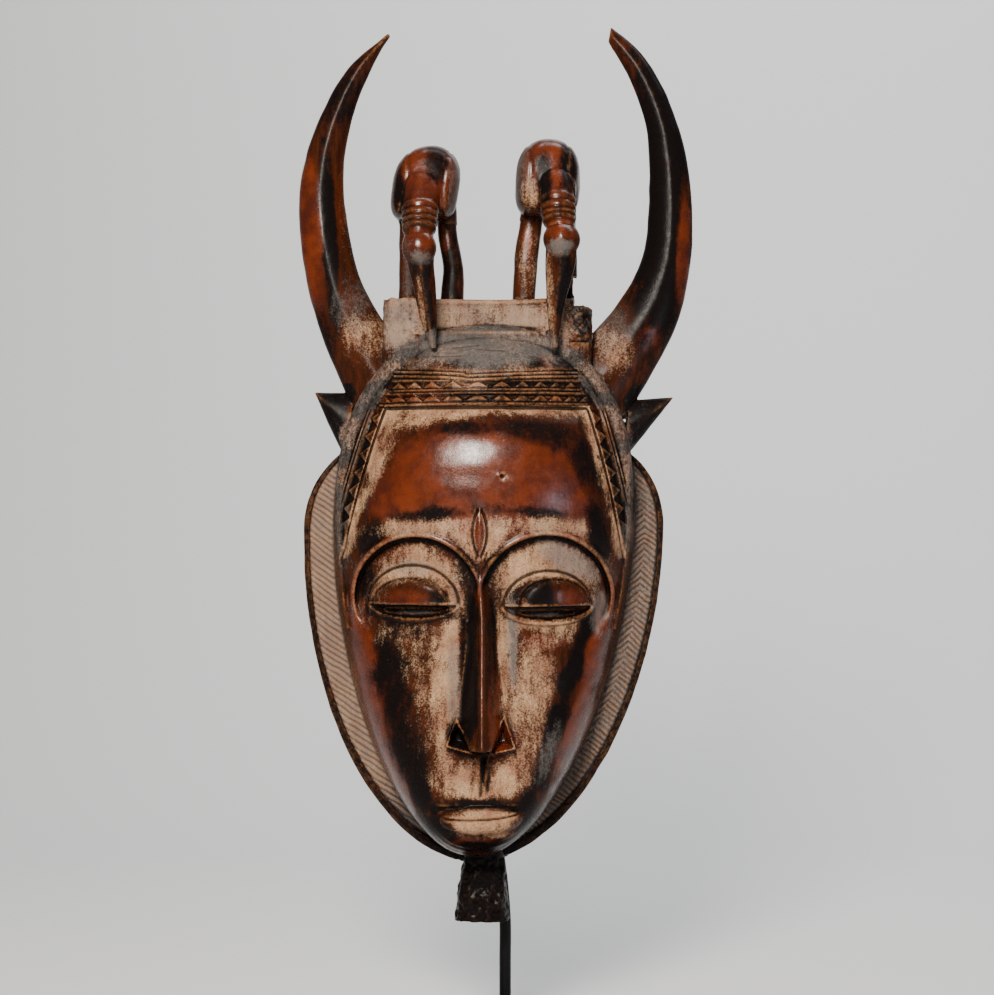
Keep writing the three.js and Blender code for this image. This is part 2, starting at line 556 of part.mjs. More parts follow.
function beard() {
  return loft(BEARD.stations.map(([z, left, right, halfDepth]) => ovalRing(
    new THREE.Vector3((left + right) / 2, -BEARD.depth, z), new THREE.Vector3((right - left) / 2, 0, 0),
    new THREE.Vector3(0, halfDepth, 0), BEARD.sides, BEARD.power)));
}

// The whole mask: the head with its sunk places, all that stands out from it, and the last cuts.
function mask() {
  const head = eggSolid(HEAD, headDepth, HEAD_MESH, 0).add(flange());
  const sunk = joined([...SOCKETS.map(socketCut), frameCut()]);
  const raisedParts = [...SOCKETS.flatMap(lids), nose(), ...NOSTRILS.map(noseWing), lips(), scar(),
    bead()];
  const crest = [...HORNS.map(horn), ...EARS.map(ear), platform(), ...BIRDS.map(bird)];
  const whole = joined([head.subtract(sunk), ...raisedParts, ...crest, beard()]);
  const cuts = [hollow(), ...SOCKETS.flatMap(eyeCuts), mouthCut(), ...bandLines(), ...zigzags()];
  return whole.subtract(joined(cuts));
}

function sweep(points, radius, sides, steps) {
  const section = new THREE.Shape(Array.from({ length: sides }, (_, i) => {
    const angle = (2 * Math.PI * i) / sides;
    return new THREE.Vector2(radius * Math.cos(angle), radius * Math.sin(angle));
  }));
  const path = new THREE.CatmullRomCurve3(points, false, 'centripetal');
  return solidOf(new THREE.ExtrudeGeometry(section, { steps, extrudePath: path, bevelEnabled: false }));
}

function standRod() {
  const { radius, sides, steps, bar, route } = ROD;
  const post = sweep(route.map(([x, depth, z]) => new THREE.Vector3(x, -depth, z)), radius, sides, steps);
  const barLine = [-1, 0, 1].map((side) => new THREE.Vector3(bar.x + side * bar.half, -bar.depth, bar.z));
  return post.add(sweep(barLine, radius, sides, bar.steps));
}

// The foot is a plate with softened edges, bored for the rod.
function standBase() {
  const [halfX, halfY] = [FOOT.width / 2 - FOOT.edge, FOOT.length / 2 - FOOT.edge];
  const outline = new THREE.Shape([[-halfX, -halfY], [halfX, -halfY], [halfX, halfY], [-halfX, halfY]].map(
    ([x, y]) => new THREE.Vector2(x, y)));
  const plate = new THREE.ExtrudeGeometry(outline, { depth: FOOT.thick - 2 * FOOT.edge,
    bevelSize: FOOT.edge, bevelThickness: FOOT.edge, bevelSegments: FOOT.edgeSteps });
  plate.translate(0, 0, FOOT.edge);
  const bore = new THREE.CylinderGeometry(ROD.radius + FOOT.clearance, ROD.radius + FOOT.clearance,
    2 * FOOT.boreDepth, FOOT.boreSides);
  const [rodX, rodDepth] = ROD.route[0];
  bore.rotateX(Math.PI / 2).translate(rodX, BACK_Y - rodDepth, FOOT.thick);
  return solidOf(plate).subtract(solidOf(bore));
}

function part(name, solid, finish) {
  const { numProp, vertProperties, triVerts } = solid.getMesh();
  const geometry = new THREE.BufferGeometry();
  geometry.setAttribute('position', new THREE.InterleavedBufferAttribute(
    new THREE.InterleavedBuffer(vertProperties, numProp), 3, 0));
  geometry.setIndex(new THREE.BufferAttribute(triVerts, 1));
  geometry.computeVertexNormals();
  const mesh = new THREE.Mesh(geometry, new THREE.MeshStandardMaterial(finish));
  mesh.name = name;
  return mesh;
}

const polishedWood = { color: 0x4a2416, roughness: 0.4, metalness: 0 };
const blackPaint = { color: 0x101011, roughness: 0.45, metalness: 0 };

const raised = new THREE.Group();
raised.position.set(0, BACK_Y, MASK_LIFT);
raised.add(part('mask', mask(), polishedWood), part('stand_rod', standRod(), blackPaint));

const standing = new THREE.Group();
standing.add(raised, part('stand_base', standBase(), blackPaint));

export default standing;
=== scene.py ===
import bpy
import mathutils.kdtree
import numpy as np
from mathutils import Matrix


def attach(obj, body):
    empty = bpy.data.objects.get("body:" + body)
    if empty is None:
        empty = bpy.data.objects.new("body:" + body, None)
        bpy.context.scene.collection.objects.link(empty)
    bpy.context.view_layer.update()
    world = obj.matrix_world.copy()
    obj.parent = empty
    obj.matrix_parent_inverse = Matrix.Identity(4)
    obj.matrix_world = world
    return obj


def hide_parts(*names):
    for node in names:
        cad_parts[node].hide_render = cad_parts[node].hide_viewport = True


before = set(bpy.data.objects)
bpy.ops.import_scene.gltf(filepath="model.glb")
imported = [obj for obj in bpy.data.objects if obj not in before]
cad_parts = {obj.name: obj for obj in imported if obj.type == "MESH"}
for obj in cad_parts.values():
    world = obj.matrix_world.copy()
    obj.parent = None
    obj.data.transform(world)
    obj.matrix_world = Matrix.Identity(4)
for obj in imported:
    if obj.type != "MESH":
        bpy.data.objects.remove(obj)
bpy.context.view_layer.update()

# The head of the mask: one block of dense brown wood, roughed out with an adze and finished with a
# knife. Its outline is an egg, and its front swells from a flat back. Sizes are in millimetres in the
# mask's own frame: x from its midline, depth forward of its back, and z up from below the beard.
MM = 0.001
BACK_Y = 30
MASK_LIFT = 62
HEAD = {"level": 205, "half": 77.5, "rise": 102, "rise_full": 2.4, "drop": 168, "drop_full": 1.8}
LEAN = 0.025
CHIN = {"level": 58, "full": 2.6, "turn": 2.2}
CROWN_LEVEL = 264
PROFILE = [[58, 65], [80, 64], [105, 62], [135, 60.5], [160, 61.5], [180, 65.5], [205, 69.5], [225, 71],
           [245, 68.5], [264, 60]]
SECTION = {"blend": [55, 150], "full": [3.6, 2.1], "turn": [2.6, 2.1]}


def mix(low, high, share):
    return low + (high - low) * share


def fade(value, start, end):
    share = np.clip((value - start) / (end - start), 0, 1)
    return share * share * (3 - 2 * share)


def smooth_line(pairs):
    """A smooth curve through pairs of place and height, which stays level beyond its ends."""
    place, height = np.array(pairs, float).T
    before = np.r_[0, np.arange(len(place) - 1)]
    after = np.r_[np.arange(1, len(place)), len(place) - 1]
    slope = (height[after] - height[before]) / (place[after] - place[before])

    def value(at):
        at = np.asarray(at, float)
        left = np.clip(np.searchsorted(place, at, side="right") - 1, 0, len(place) - 2)
        span = place[left + 1] - place[left]
        t = np.clip((at - place[left]) / span, 0, 1)
        rest = 1 - t
        return (height[left] * (1 + 2 * t) * rest * rest + height[left + 1] * t * t * (3 - 2 * t)
                + span * t * rest * (slope[left] * rest - slope[left + 1] * t))
    return value


profile_depth = smooth_line(PROFILE)


def midline(z):
    return LEAN * (z - HEAD["level"])


def round_off(t, full, turn):
    """1 where t is 0, falling to 0 where t is 1, fuller and rounder as the powers grow."""
    return np.clip(1 - np.clip(t, 0, 1) ** full, 0, 1) ** (1 / turn)


def egg_half(egg, z):
    up = (z - egg["level"]) / egg["rise"]
    down = (egg["level"] - z) / egg["drop"]
    return egg["half"] * np.where(z > egg["level"], round_off(up, egg["rise_full"], egg["rise_full"]),
                                  round_off(down, egg["drop_full"], egg["drop_full"]))


def egg_share(egg, x, z):
    """How far out in an egg a place lies: 0 in its middle and 1 on its outline."""
    up = z > egg["level"]
    power = np.where(up, egg["rise_full"], egg["drop_full"])
    tall = np.where(up, egg["rise"], egg["drop"])
    across = np.abs(x - midline(z)) / egg["half"]
    along = np.abs(z - egg["level"]) / tall
    return (across ** power + along ** power) ** (1 / power)


def egg_depth(egg, x, z, inset):
    depth = profile_depth(z) - inset
    top = egg["level"] + egg["rise"]
    foot = egg["level"] - egg["drop"]
    depth = depth * np.where(z > CROWN_LEVEL, round_off((z - CROWN_LEVEL) / (top - CROWN_LEVEL), 2, 2), 1)
    chin = round_off((CHIN["level"] - z) / (CHIN["level"] - foot), CHIN["full"], CHIN["turn"])
    depth = depth * np.where(z < CHIN["level"], chin, 1)
    across = np.abs(x - midline(z)) / np.maximum(egg_half(egg, z), 1e-6)
    slim = fade(z, *SECTION["blend"])
    return depth * round_off(across, mix(*SECTION["full"], slim), mix(*SECTION["turn"], slim))


def head_depth(x, z):
    return egg_depth(HEAD, x, z, 0)


# What the knife cuts into the face: oval sockets under the brows, bulging lids over long slits, a
# narrow roof of a nose with three-cornered wings, full lips, a raised scar, and the stepped frame
# round the forehead. Each is a change of depth, so the face is worked out as one surface.
SOCKETS = [
    {"x": -33.4, "z": 168, "half_x": 31.4, "half_z": 31.2, "eye_x": -35.0, "eye_z": 165.5, "lid_x": 22.6,
     "lid_z": 19.2, "ball_x": -36.0, "ball_half": 18.4, "ball_rise": 12.6},
    {"x": 31.3, "z": 168, "half_x": 32.6, "half_z": 32, "eye_x": 32.0, "eye_z": 164.5, "lid_x": 21.9,
     "lid_z": 17.4, "ball_x": 35.4, "ball_half": 17.2, "ball_rise": 13.2},
]
SOCKET = {"depth": 7, "fade": [134, 172], "edge": 1.5, "soft": 15, "wall_fade": [140, 168], "pinch": 0.6,
          "pinch_fade": [96, 160], "undercut": 0.8, "undercut_from": 0.7, "undercut_fade": [172, 185],
          "crease": [0.02, 0.82], "crease_fade": [150, 172]}
CHEEK = {"depth": 1.6, "foot": 92, "full": 130, "end": [140, 170], "below": 6}
LID = {"bulge": 6.5, "band": 0.5, "ball_foot": 0.28, "sink": 0.8, "sink_fade": [1, 0.9], "groove": 1.1,
       "groove_at": 1.02, "groove_fade": [0.02, 0.1]}
SLIT = {"half": 21.6, "height": 6.6, "depth": 4, "flat": 1.15}
EYE_HOLE = {"half": 15, "height": 3.0, "drop": 3.1, "slope": 0.5, "reach": [-34, -2], "level_at": -3,
            "around": 96}
LOWER_LID = {"half": 23.1, "drop": 8.8, "lift": 1.5}
NOSE = {"x": -0.6, "crest": 1.2, "foot": 95.3, "root": [176, 196], "root_drop": 40, "foot_radius": 2.6,
        "ridge": [[95.3, 84], [104, 82], [125, 77], [150, 71], [166, 67.5], [182, 62]],
        "fall": [[95.3, 1.75], [104, 1.8], [125, 2.1], [150, 2.5], [166, 2.5], [182, 2.2]]}
NOSTRILS = [[[-18.6, 96.8], [-13.1, 111.6], [-4.4, 92.8]], [[16, 95.6], [10.3, 113.4], [2.2, 92.4]]]
NOSTRIL = {"rim": 5.5, "inner_rim": 3.5, "sunk": 4, "hole": 0.25, "border": 0.8}
LIPS = {"x": -1.1, "z": 60.8, "half_x": 20.3, "half_z": 7.2, "height": 4.6}
SCAR = {"x": -1.75, "z": 201, "half": 11.5, "width": 5.6, "height": 3, "round": 0.8}
FRAME = {"top": 263, "half": 50.5, "spread": 0.33, "curl": 0.0007, "foot": 186, "fade": [182, 226],
         "step": 2.6, "run_out": 0.4, "reach": 10}
nose_ridge = smooth_line(NOSE["ridge"])
nose_fall = smooth_line(NOSE["fall"])


def soft_max(first, second, radius):
    share = np.clip(0.5 + 0.5 * (first - second) / radius, 0, 1)
    return mix(second, first, share) + radius * share * (1 - share)


def soft_min(first, second, radius):
    return -soft_max(-first, -second, radius)


def socket_sunk(z):
    """How deep the sockets lie below the plain face: they run out into hollow cheeks."""
    cheek = fade(z, CHEEK["foot"], CHEEK["full"]) * (1 - fade(z, *CHEEK["end"]))
    return SOCKET["depth"] * fade(z, *SOCKET["fade"]) + CHEEK["depth"] * cheek


def frame_half(z):
    fall = FRAME["top"] - z
    return FRAME["half"] + FRAME["spread"] * fall - FRAME["curl"] * fall ** 2


def frame_inset(x, z):
    """How far a place lies inside the stepped frame of the forehead."""
    return np.minimum(frame_half(z) - np.abs(x - midline(z)), FRAME["top"] - z)


def oval_share(x, z, middle_x, middle_z, half_x, half_z):
    return np.hypot((x - middle_x) / half_x, (z - middle_z) / half_z)


def corner_shares(corners, x, z):
    """The shares of three corners in a place, of which none is negative inside their triangle."""
    (ax, az), (bx, bz), (cx, cz) = corners
    whole = (bx - ax) * (cz - az) - (cx - ax) * (bz - az)
    second = ((x - ax) * (cz - az) - (cx - ax) * (z - az)) / whole
    third = ((bx - ax) * (z - az) - (x - ax) * (bz - az)) / whole
    return 1 - second - third, second, third


def eye_depth(eye, depth, plain, x, z):
    tall = np.where(z > eye["z"], eye["half_z"], eye["z"] - CHEEK["foot"] + CHEEK["below"])
    half = eye["half_x"] * mix(SOCKET["pinch"], 1, fade(z, *SOCKET["pinch_fade"]))
    out = oval_share(x, z, eye["x"], eye["z"], half, tall)
    wide = mix(SOCKET["soft"], SOCKET["edge"], fade(z, *SOCKET["wall_fade"]))
    wall = fade((1 - out) * eye["half_x"], 0, wide)
    floor = plain - socket_sunk(z)
    under = SOCKET["undercut"] * fade(out, SOCKET["undercut_from"], 1) * fade(z, *SOCKET["undercut_fade"])
    crease = mix(*SOCKET["crease"], fade(z, *SOCKET["crease_fade"]))
    depth = np.where(out < 1, soft_min(depth, mix(plain, floor - under, wall), crease), depth)
    lid = oval_share(x, z, eye["eye_x"], eye["eye_z"], eye["lid_x"], eye["lid_z"])
    ball = oval_share(x, z, eye["ball_x"], eye["eye_z"], eye["ball_half"], eye["ball_rise"])
    groove = LID["groove"] * (1 - fade(np.abs(ball - LID["groove_at"]), *LID["groove_fade"]))
    band = floor + LID["bulge"] * LID["band"] * round_off(lid, 3, 2) - groove
    swell = mix(LID["ball_foot"], 1, np.sqrt(np.clip(1 - ball ** 2, 0, 1)))
    sunk = band - LID["sink"] * fade(ball, *LID["sink_fade"])
    band = np.where(ball < 1, np.maximum(sunk, floor + LID["bulge"] * swell), band)
    above = z > eye["eye_z"]
    depth = np.where(above & (lid < 1), np.maximum(depth, band), depth)
    rim = oval_share(x, z, eye["eye_x"], eye["eye_z"], LOWER_LID["half"], LOWER_LID["drop"])
    lifted = floor + LOWER_LID["lift"] * np.sqrt(np.clip(1 - rim ** 4, 0, 1))
    depth = np.where(~above & (rim < 1), np.maximum(depth, lifted), depth)
    slit = oval_share(x, z, eye["eye_x"], eye["eye_z"], SLIT["half"], SLIT["height"])
    cut = floor - SLIT["depth"] * np.clip(SLIT["flat"] - slit ** 2, 0, 1)
    return np.where(~above & (slit < 1), np.minimum(depth, cut), depth)


def face_depth(x, z):
    plain = head_depth(x, z)
    inset = frame_inset(x, z)
    down = FRAME["step"] * fade(z, *FRAME["fade"])
    step = mix(-down, FRAME["run_out"], np.clip(inset / FRAME["reach"], 0, 1))
    depth = np.where((inset > 0) & (inset < FRAME["reach"]), np.minimum(plain, plain + step), plain)
    for eye in SOCKETS:
        depth = eye_depth(eye, depth, plain, x, z)
    aside = np.hypot(x - NOSE["x"], NOSE["crest"]) - NOSE["crest"] / 2
    roof = nose_ridge(z) - nose_fall(z) * aside - NOSE["root_drop"] * fade(z, *NOSE["root"])
    roof = np.where(z < NOSE["foot"], 0, roof)
    depth = np.where(z < NOSE["foot"], depth, soft_max(depth, roof, NOSE["foot_radius"]))
    for corners in NOSTRILS:
        share = 1 - 3 * np.min(corner_shares(corners, x, z), axis=0)
        on_rim = share > NOSTRIL["border"]
        hole = mix(-NOSTRIL["sunk"], NOSTRIL["inner_rim"], fade(share, NOSTRIL["hole"], NOSTRIL["border"]))
        wing = plain + np.where(on_rim, NOSTRIL["rim"], hole)
        depth = np.where(share < 1, np.where(on_rim, np.maximum(depth, wing), wing), depth)
    lip = oval_share(x, z, LIPS["x"], LIPS["z"], LIPS["half_x"], LIPS["half_z"])
    full = plain + LIPS["height"] * round_off(lip, 3, 2)
    depth = np.where(lip < 1, np.maximum(depth, full), depth)
    swell = np.clip(1 - ((z - SCAR["z"]) / SCAR["half"]) ** 2, 0, 1)
    narrow = SCAR["width"] / 2 * np.maximum(swell, 0.02)
    ridge = np.clip(1 - np.abs(x - SCAR["x"]) / narrow, 0, 1)
    return depth + SCAR["height"] * swell * ridge ** SCAR["round"]


def block(name, points, faces):
    """A closed block of points in the mask's frame, turned inside out where its faces look inward."""
    x, depth, z = np.asarray(points, float).reshape(-1, 3).T
    corners = np.stack([x, BACK_Y - depth, z + MASK_LIFT], axis=1) * MM
    mesh = bpy.data.meshes.new(name)
    mesh.from_pydata(corners.tolist(), [], faces)
    tri = np.array([face[:3] for face in faces])
    first, second, third = corners[tri[:, 0]], corners[tri[:, 1]], corners[tri[:, 2]]
    if np.sum(first * np.cross(second, third)) < 0:
        mesh.flip_normals()
    made = bpy.data.objects.new(name, mesh)
    bpy.context.scene.collection.objects.link(made)
    return made


# Rows and columns crowd towards the edges of an egg, more so at the crown.
CROWDED = {"foot": 0.3, "crown": 0.4, "sides": 0.3, "margin": 0.05}


def crowd(t, share):
    return (1 - share) * t + share * np.sin(t * np.pi / 2)


def swollen_egg(name, egg, depth_of, rows, columns, back):
    """A closed block on the outline of an egg, whose front follows depth_of and whose back is flat."""
    low, high = egg["level"] - egg["drop"], egg["level"] + egg["rise"]
    split = int(rows * egg["drop"] / (egg["drop"] + egg["rise"]))
    down = crowd(np.linspace(1, 0, split, endpoint=False), CROWDED["foot"])
    up = crowd(np.linspace(0, 1, rows - split), CROWDED["crown"])
    z = np.r_[egg["level"] - down * egg["drop"], egg["level"] + up * egg["rise"]]
    z = np.clip(z, low + CROWDED["margin"], high - CROWDED["margin"])
    share = crowd(np.linspace(-1, 1, columns), CROWDED["sides"])
    grid_z = np.repeat(z[:, None], columns, axis=1)
    grid_x = midline(grid_z) + egg_half(egg, grid_z) * share
    depth = depth_of(grid_x, grid_z)
    depth[:, [0, -1]] = 0
    depth[[0, -1], :] = 0
    points = np.stack([grid_x, depth, grid_z], axis=-1).reshape(-1, 3)
    row, column = np.meshgrid(np.arange(rows - 1), np.arange(columns - 1), indexing="ij")
    at = (row * columns + column).ravel()
    faces = np.stack([at, at + 1, at + columns + 1, at + columns], axis=1).tolist()
    rim = np.r_[np.arange(columns), np.arange(1, rows) * columns + columns - 1,
                (rows - 1) * columns + np.arange(columns - 2, -1, -1), np.arange(rows - 2, 0, -1) * columns]
    behind = points[rim].copy()
    behind[:, 1] = back
    first = len(points)
    count = len(rim)
    points = np.r_[points, behind, [[0, back, egg["level"]]]]
    after = np.r_[np.arange(1, count), 0]
    wall = np.stack([rim, first + np.arange(count), first + after, rim[after]], axis=1)
    hub = np.full(count, first + count)
    cap = np.stack([first + np.arange(count), hub, first + after], axis=1)
    return block(name, points, faces + wall.tolist() + cap.tolist())


GRID = {"face": [520, 320], "hollow": [200, 140], "coarse": 0.6}
BACK = {"mask": -0.01, "hollow": -6}
fine = 1
rows, columns = [int(count * fine) for count in GRID["face"]]
mask = swollen_egg("carved_mask", HEAD, face_depth, rows, columns, BACK["mask"])

# The back is hollowed with a gouge, which leaves a wall all round, and two narrow slots go through
# under the lids for the dancer to look out of.
WALL = {"side": 11, "front": 17, "end": 12}
HOLLOW = {**HEAD, "half": HEAD["half"] - WALL["side"], "rise": HEAD["rise"] - WALL["end"],
          "drop": HEAD["drop"] - WALL["end"]}


def loft(name, rings):
    rings = np.asarray(rings, float)
    count, around = rings.shape[:2]
    row, column = np.meshgrid(np.arange(count - 1), np.arange(around), indexing="ij")
    at, beside = (row * around + column).ravel(), (row * around + (column + 1) % around).ravel()
    faces = np.stack([at, beside, beside + around, at + around], axis=1).tolist()
    ends = [list(range(around))[::-1], list(range((count - 1) * around, count * around))]
    return block(name, rings, faces + ends)


def oval(centre, half_a, half_b, around, power=2, far_power=None):
    angle = np.linspace(0, 2 * np.pi, around, endpoint=False)
    cos, sin = np.cos(angle), np.sin(angle)
    bend = 2 / np.where(sin < 0, far_power or power, power)
    return (np.asarray(centre, float) + np.outer(np.sign(cos) * np.abs(cos) ** bend, half_a)
            + np.outer(np.sign(sin) * np.abs(sin) ** bend, half_b))


rows, columns = [int(count * fine) for count in GRID["hollow"]]
hollow = swollen_egg("hollow", HOLLOW, lambda x, z: egg_depth(HOLLOW, x, z, WALL["front"]), rows, columns,
                     BACK["hollow"])
cutters = [hollow]
for number, eye in enumerate(SOCKETS):
    ring = oval([eye["eye_x"], 0, eye["eye_z"] - EYE_HOLE["drop"]], [EYE_HOLE["half"], 0, 0],
                [0, 0, EYE_HOLE["height"] / 2], EYE_HOLE["around"])
    level = head_depth(ring[:, 0], ring[:, 2]) - socket_sunk(ring[:, 2])
    cutters.append(loft("eye_hole_%d" % number, [
        np.stack([ring[:, 0], level + reach, ring[:, 2] + EYE_HOLE["slope"] * (reach - EYE_HOLE["level_at"])],
                 axis=1) for reach in EYE_HOLE["reach"]]))

# Behind the face runs a flat flange, and a rounded roll edges the coiffure over the crown and down
# past the temples, where it dies away along the cheeks. Both are left standing when the block is cut.
FLANGE = {"level": 200, "half": 92, "rise": 60, "rise_full": 2.4, "drop": 168, "drop_full": 1.9}
FLANGE_PLATE = {"thick": 8, "around": 360, "steps": [[8, 0], [1.2, 0], [0.35, 0.005], [0, 0.012]]}
ROLL = {"share": 0.93, "radius": 4.7, "stations": 260, "around": 28, "reach": 112, "thin_from": 0.5,
        "end": 0.35}


def egg_point(egg, angle, share):
    cos, sin = np.cos(angle), np.sin(angle)
    power = 2 / np.where(sin > 0, egg["rise_full"], egg["drop_full"])
    tall = np.where(sin > 0, egg["rise"], egg["drop"])
    z = egg["level"] + np.sign(sin) * np.abs(sin) ** power * share * tall
    return midline(z) + np.sign(cos) * np.abs(cos) ** power * share * egg["half"], z


around_egg = np.linspace(0, 2 * np.pi, FLANGE_PLATE["around"], endpoint=False)
plate = []
for below, shrink in FLANGE_PLATE["steps"]:
    x, z = egg_point(FLANGE, around_egg, 1 - shrink)
    plate.append(np.stack([x, np.full_like(x, FLANGE_PLATE["thick"] - below), z], axis=1))
parts = [loft("flange", plate)]

along = np.linspace(-1, 1, ROLL["stations"])
angle = np.radians(90 + along * ROLL["reach"])
roll_x, roll_z = egg_point(HEAD, angle, ROLL["share"])
roll_depth = head_depth(roll_x, roll_z)
roll_radius = ROLL["radius"] * mix(1, ROLL["end"], fade(np.abs(along), ROLL["thin_from"], 1))
parts.append(loft("roll", [
    oval([x, depth, z], [np.cos(turn) * radius, 0, np.sin(turn) * radius], [0, radius, 0], ROLL["around"])
    for x, depth, z, turn, radius in zip(roll_x, roll_depth, roll_z, angle, roll_radius)]))

# Two horns, wide and soft-edged at the foot and drawn to a point, stand up from behind the roll. Each
# is drawn between its outer and inner edge, from the tip down into the head.
HORNS = [
    {"outer": [[-48.8, 454.2], [-69.6, 435.9], [-85.4, 406.9], [-93.6, 376], [-93, 347], [-87.9, 318.4],
               [-78.3, 290], [-66, 262]],
     "inner": [[-47.8, 453], [-55.4, 440], [-64.5, 418.6], [-70.1, 395.7], [-71.2, 376], [-68.6, 353],
               [-61.5, 327], [-40, 290]]},
    {"outer": [[64.7, 457.8], [78.9, 445.6], [91.7, 425.8], [101.8, 397.3], [105.9, 368.8], [105.4, 340.3],
               [98, 306], [72, 258]],
     "inner": [[63.2, 450.2], [73.3, 432.9], [82, 408.5], [84, 387], [83.5, 361.6], [80.5, 340.3],
               [68, 317], [42, 288]]},
]
HORN = {"stations": 150, "around": 56, "thick_base": 25, "thick_tip": 4, "depth": 14, "power": 1.6,
        "ease": 1.15, "thick_ease": 0.6}
CURVE_STEPS = 60


def through(pairs, count, ease=1):
    """Evenly spaced points of the smooth curve through the given ones, spaced by the root of chords."""
    given = np.array(pairs, float)
    ends = [2 * given[0] - given[1], 2 * given[-1] - given[-2]]
    path = np.vstack([ends[0], given, ends[1]])
    found = []
    for k in range(1, len(path) - 2):
        points = list(path[k - 1:k + 3])
        knots = np.r_[0, np.cumsum(np.linalg.norm(np.diff(points, axis=0), axis=1) ** 0.5)]
        t = np.linspace(knots[1], knots[2], CURVE_STEPS, endpoint=False)[:, None]
        for spans in ([(0, 1), (1, 2), (2, 3)], [(0, 2), (1, 3)], [(1, 2)]):
            points = [mix(points[j], points[j + 1], (t - knots[low]) / (knots[high] - knots[low]))
                      for j, (low, high) in enumerate(spans)]
        found.append(points[0])
    found = np.vstack(found + [given[-1:]])
    run = np.r_[0, np.cumsum(np.linalg.norm(np.diff(found, axis=0), axis=1))]
    wanted = np.linspace(0, 1, count) ** ease * run[-1]
    return np.stack([np.interp(wanted, run, found[:, axis]) for axis in range(given.shape[1])], axis=1)


for number, horn in enumerate(HORNS):
    outer = through(horn["outer"], HORN["stations"], HORN["ease"])
    inner = through(horn["inner"], HORN["stations"], HORN["ease"])
    t = np.linspace(0, 1, HORN["stations"]) ** HORN["ease"]
    thick = mix(HORN["thick_tip"], HORN["thick_base"], t ** HORN["thick_ease"]) / 2
    rings = []
    for out, into, half in zip(outer, inner, thick):
        middle, reach = (out + into) / 2, (out - into) / 2
        rings.append(oval([middle[0], HORN["depth"], middle[1]], [reach[0], 0, reach[1]], [0, half, 0],
                          HORN["around"], HORN["power"]))
    parts.append(loft("horn_%d" % number, rings))

# A small leaf-shaped ear stands out at the foot of each horn, and between the horns a platform runs
# across the crown. Its front is hollowed, its left end is rounded and its right end is broken low.
EARS = [{"tip": [-86.3, 272], "top": [-66, 271.5], "foot": [-70, 236]},
        {"tip": [96.7, 269.5], "top": [74, 268], "foot": [70, 236]}]
EAR = {"depth": 13, "half_thick": 7, "around": 28, "power": 1.6, "stations": 24, "start": 0.02}
PLATFORM = {"left": -50.5, "right": 54.3, "top": 318, "back": 3, "front": 36, "scoop": 9, "scoop_half": 30,
            "corner": 8, "lip": [[36, 0], [1.4, 0], [0.4, 0.5], [0, 1.4]], "stations": 220}
BROKEN_END = {"corners": [[45, 60], [45, -20], [54.6, -20], [54.6, 60]], "levels": [313.6, 330]}

for number, ear in enumerate(EARS):
    rings = []
    for share in np.linspace(EAR["start"], 1, EAR["stations"]):
        high, low = (mix(np.array(ear["tip"]), np.array(ear[end]), share) for end in ("top", "foot"))
        middle, reach = (high + low) / 2, (high - low) / 2
        rings.append(oval([middle[0], EAR["depth"], middle[1]], [reach[0], 0, reach[1]],
                          [0, EAR["half_thick"] * share ** 0.5, 0], EAR["around"], EAR["power"]))
    parts.append(loft("ear_%d" % number, rings))

across = np.linspace(PLATFORM["left"], PLATFORM["right"], PLATFORM["stations"])
scoop = PLATFORM["scoop"] * np.clip(1 - (across / PLATFORM["scoop_half"]) ** 2, 0, 1)
to_end = np.minimum(across - PLATFORM["left"], PLATFORM["right"] - across) / PLATFORM["corner"]
corner = PLATFORM["corner"] * (1 - np.sqrt(1 - np.clip(1 - to_end, 0, 1) ** 2))
front_edge = np.stack([across, PLATFORM["front"] - scoop - corner], axis=1)
rear = np.stack([across[::-1], np.full_like(across, PLATFORM["back"])], axis=1)
outline_x, outline_depth = np.r_[front_edge, rear].T
rings = []
for below, inward in PLATFORM["lip"]:
    depth = outline_depth + inward * np.where(outline_depth > PLATFORM["back"], -1, 1)
    rings.append(np.stack([outline_x, depth, np.full_like(depth, PLATFORM["top"] - below)], axis=1))
parts.append(loft("platform", rings))
cutters.append(loft("broken_end", [[[x, depth, z] for x, depth in BROKEN_END["corners"]]
                                   for z in BROKEN_END["levels"]]))

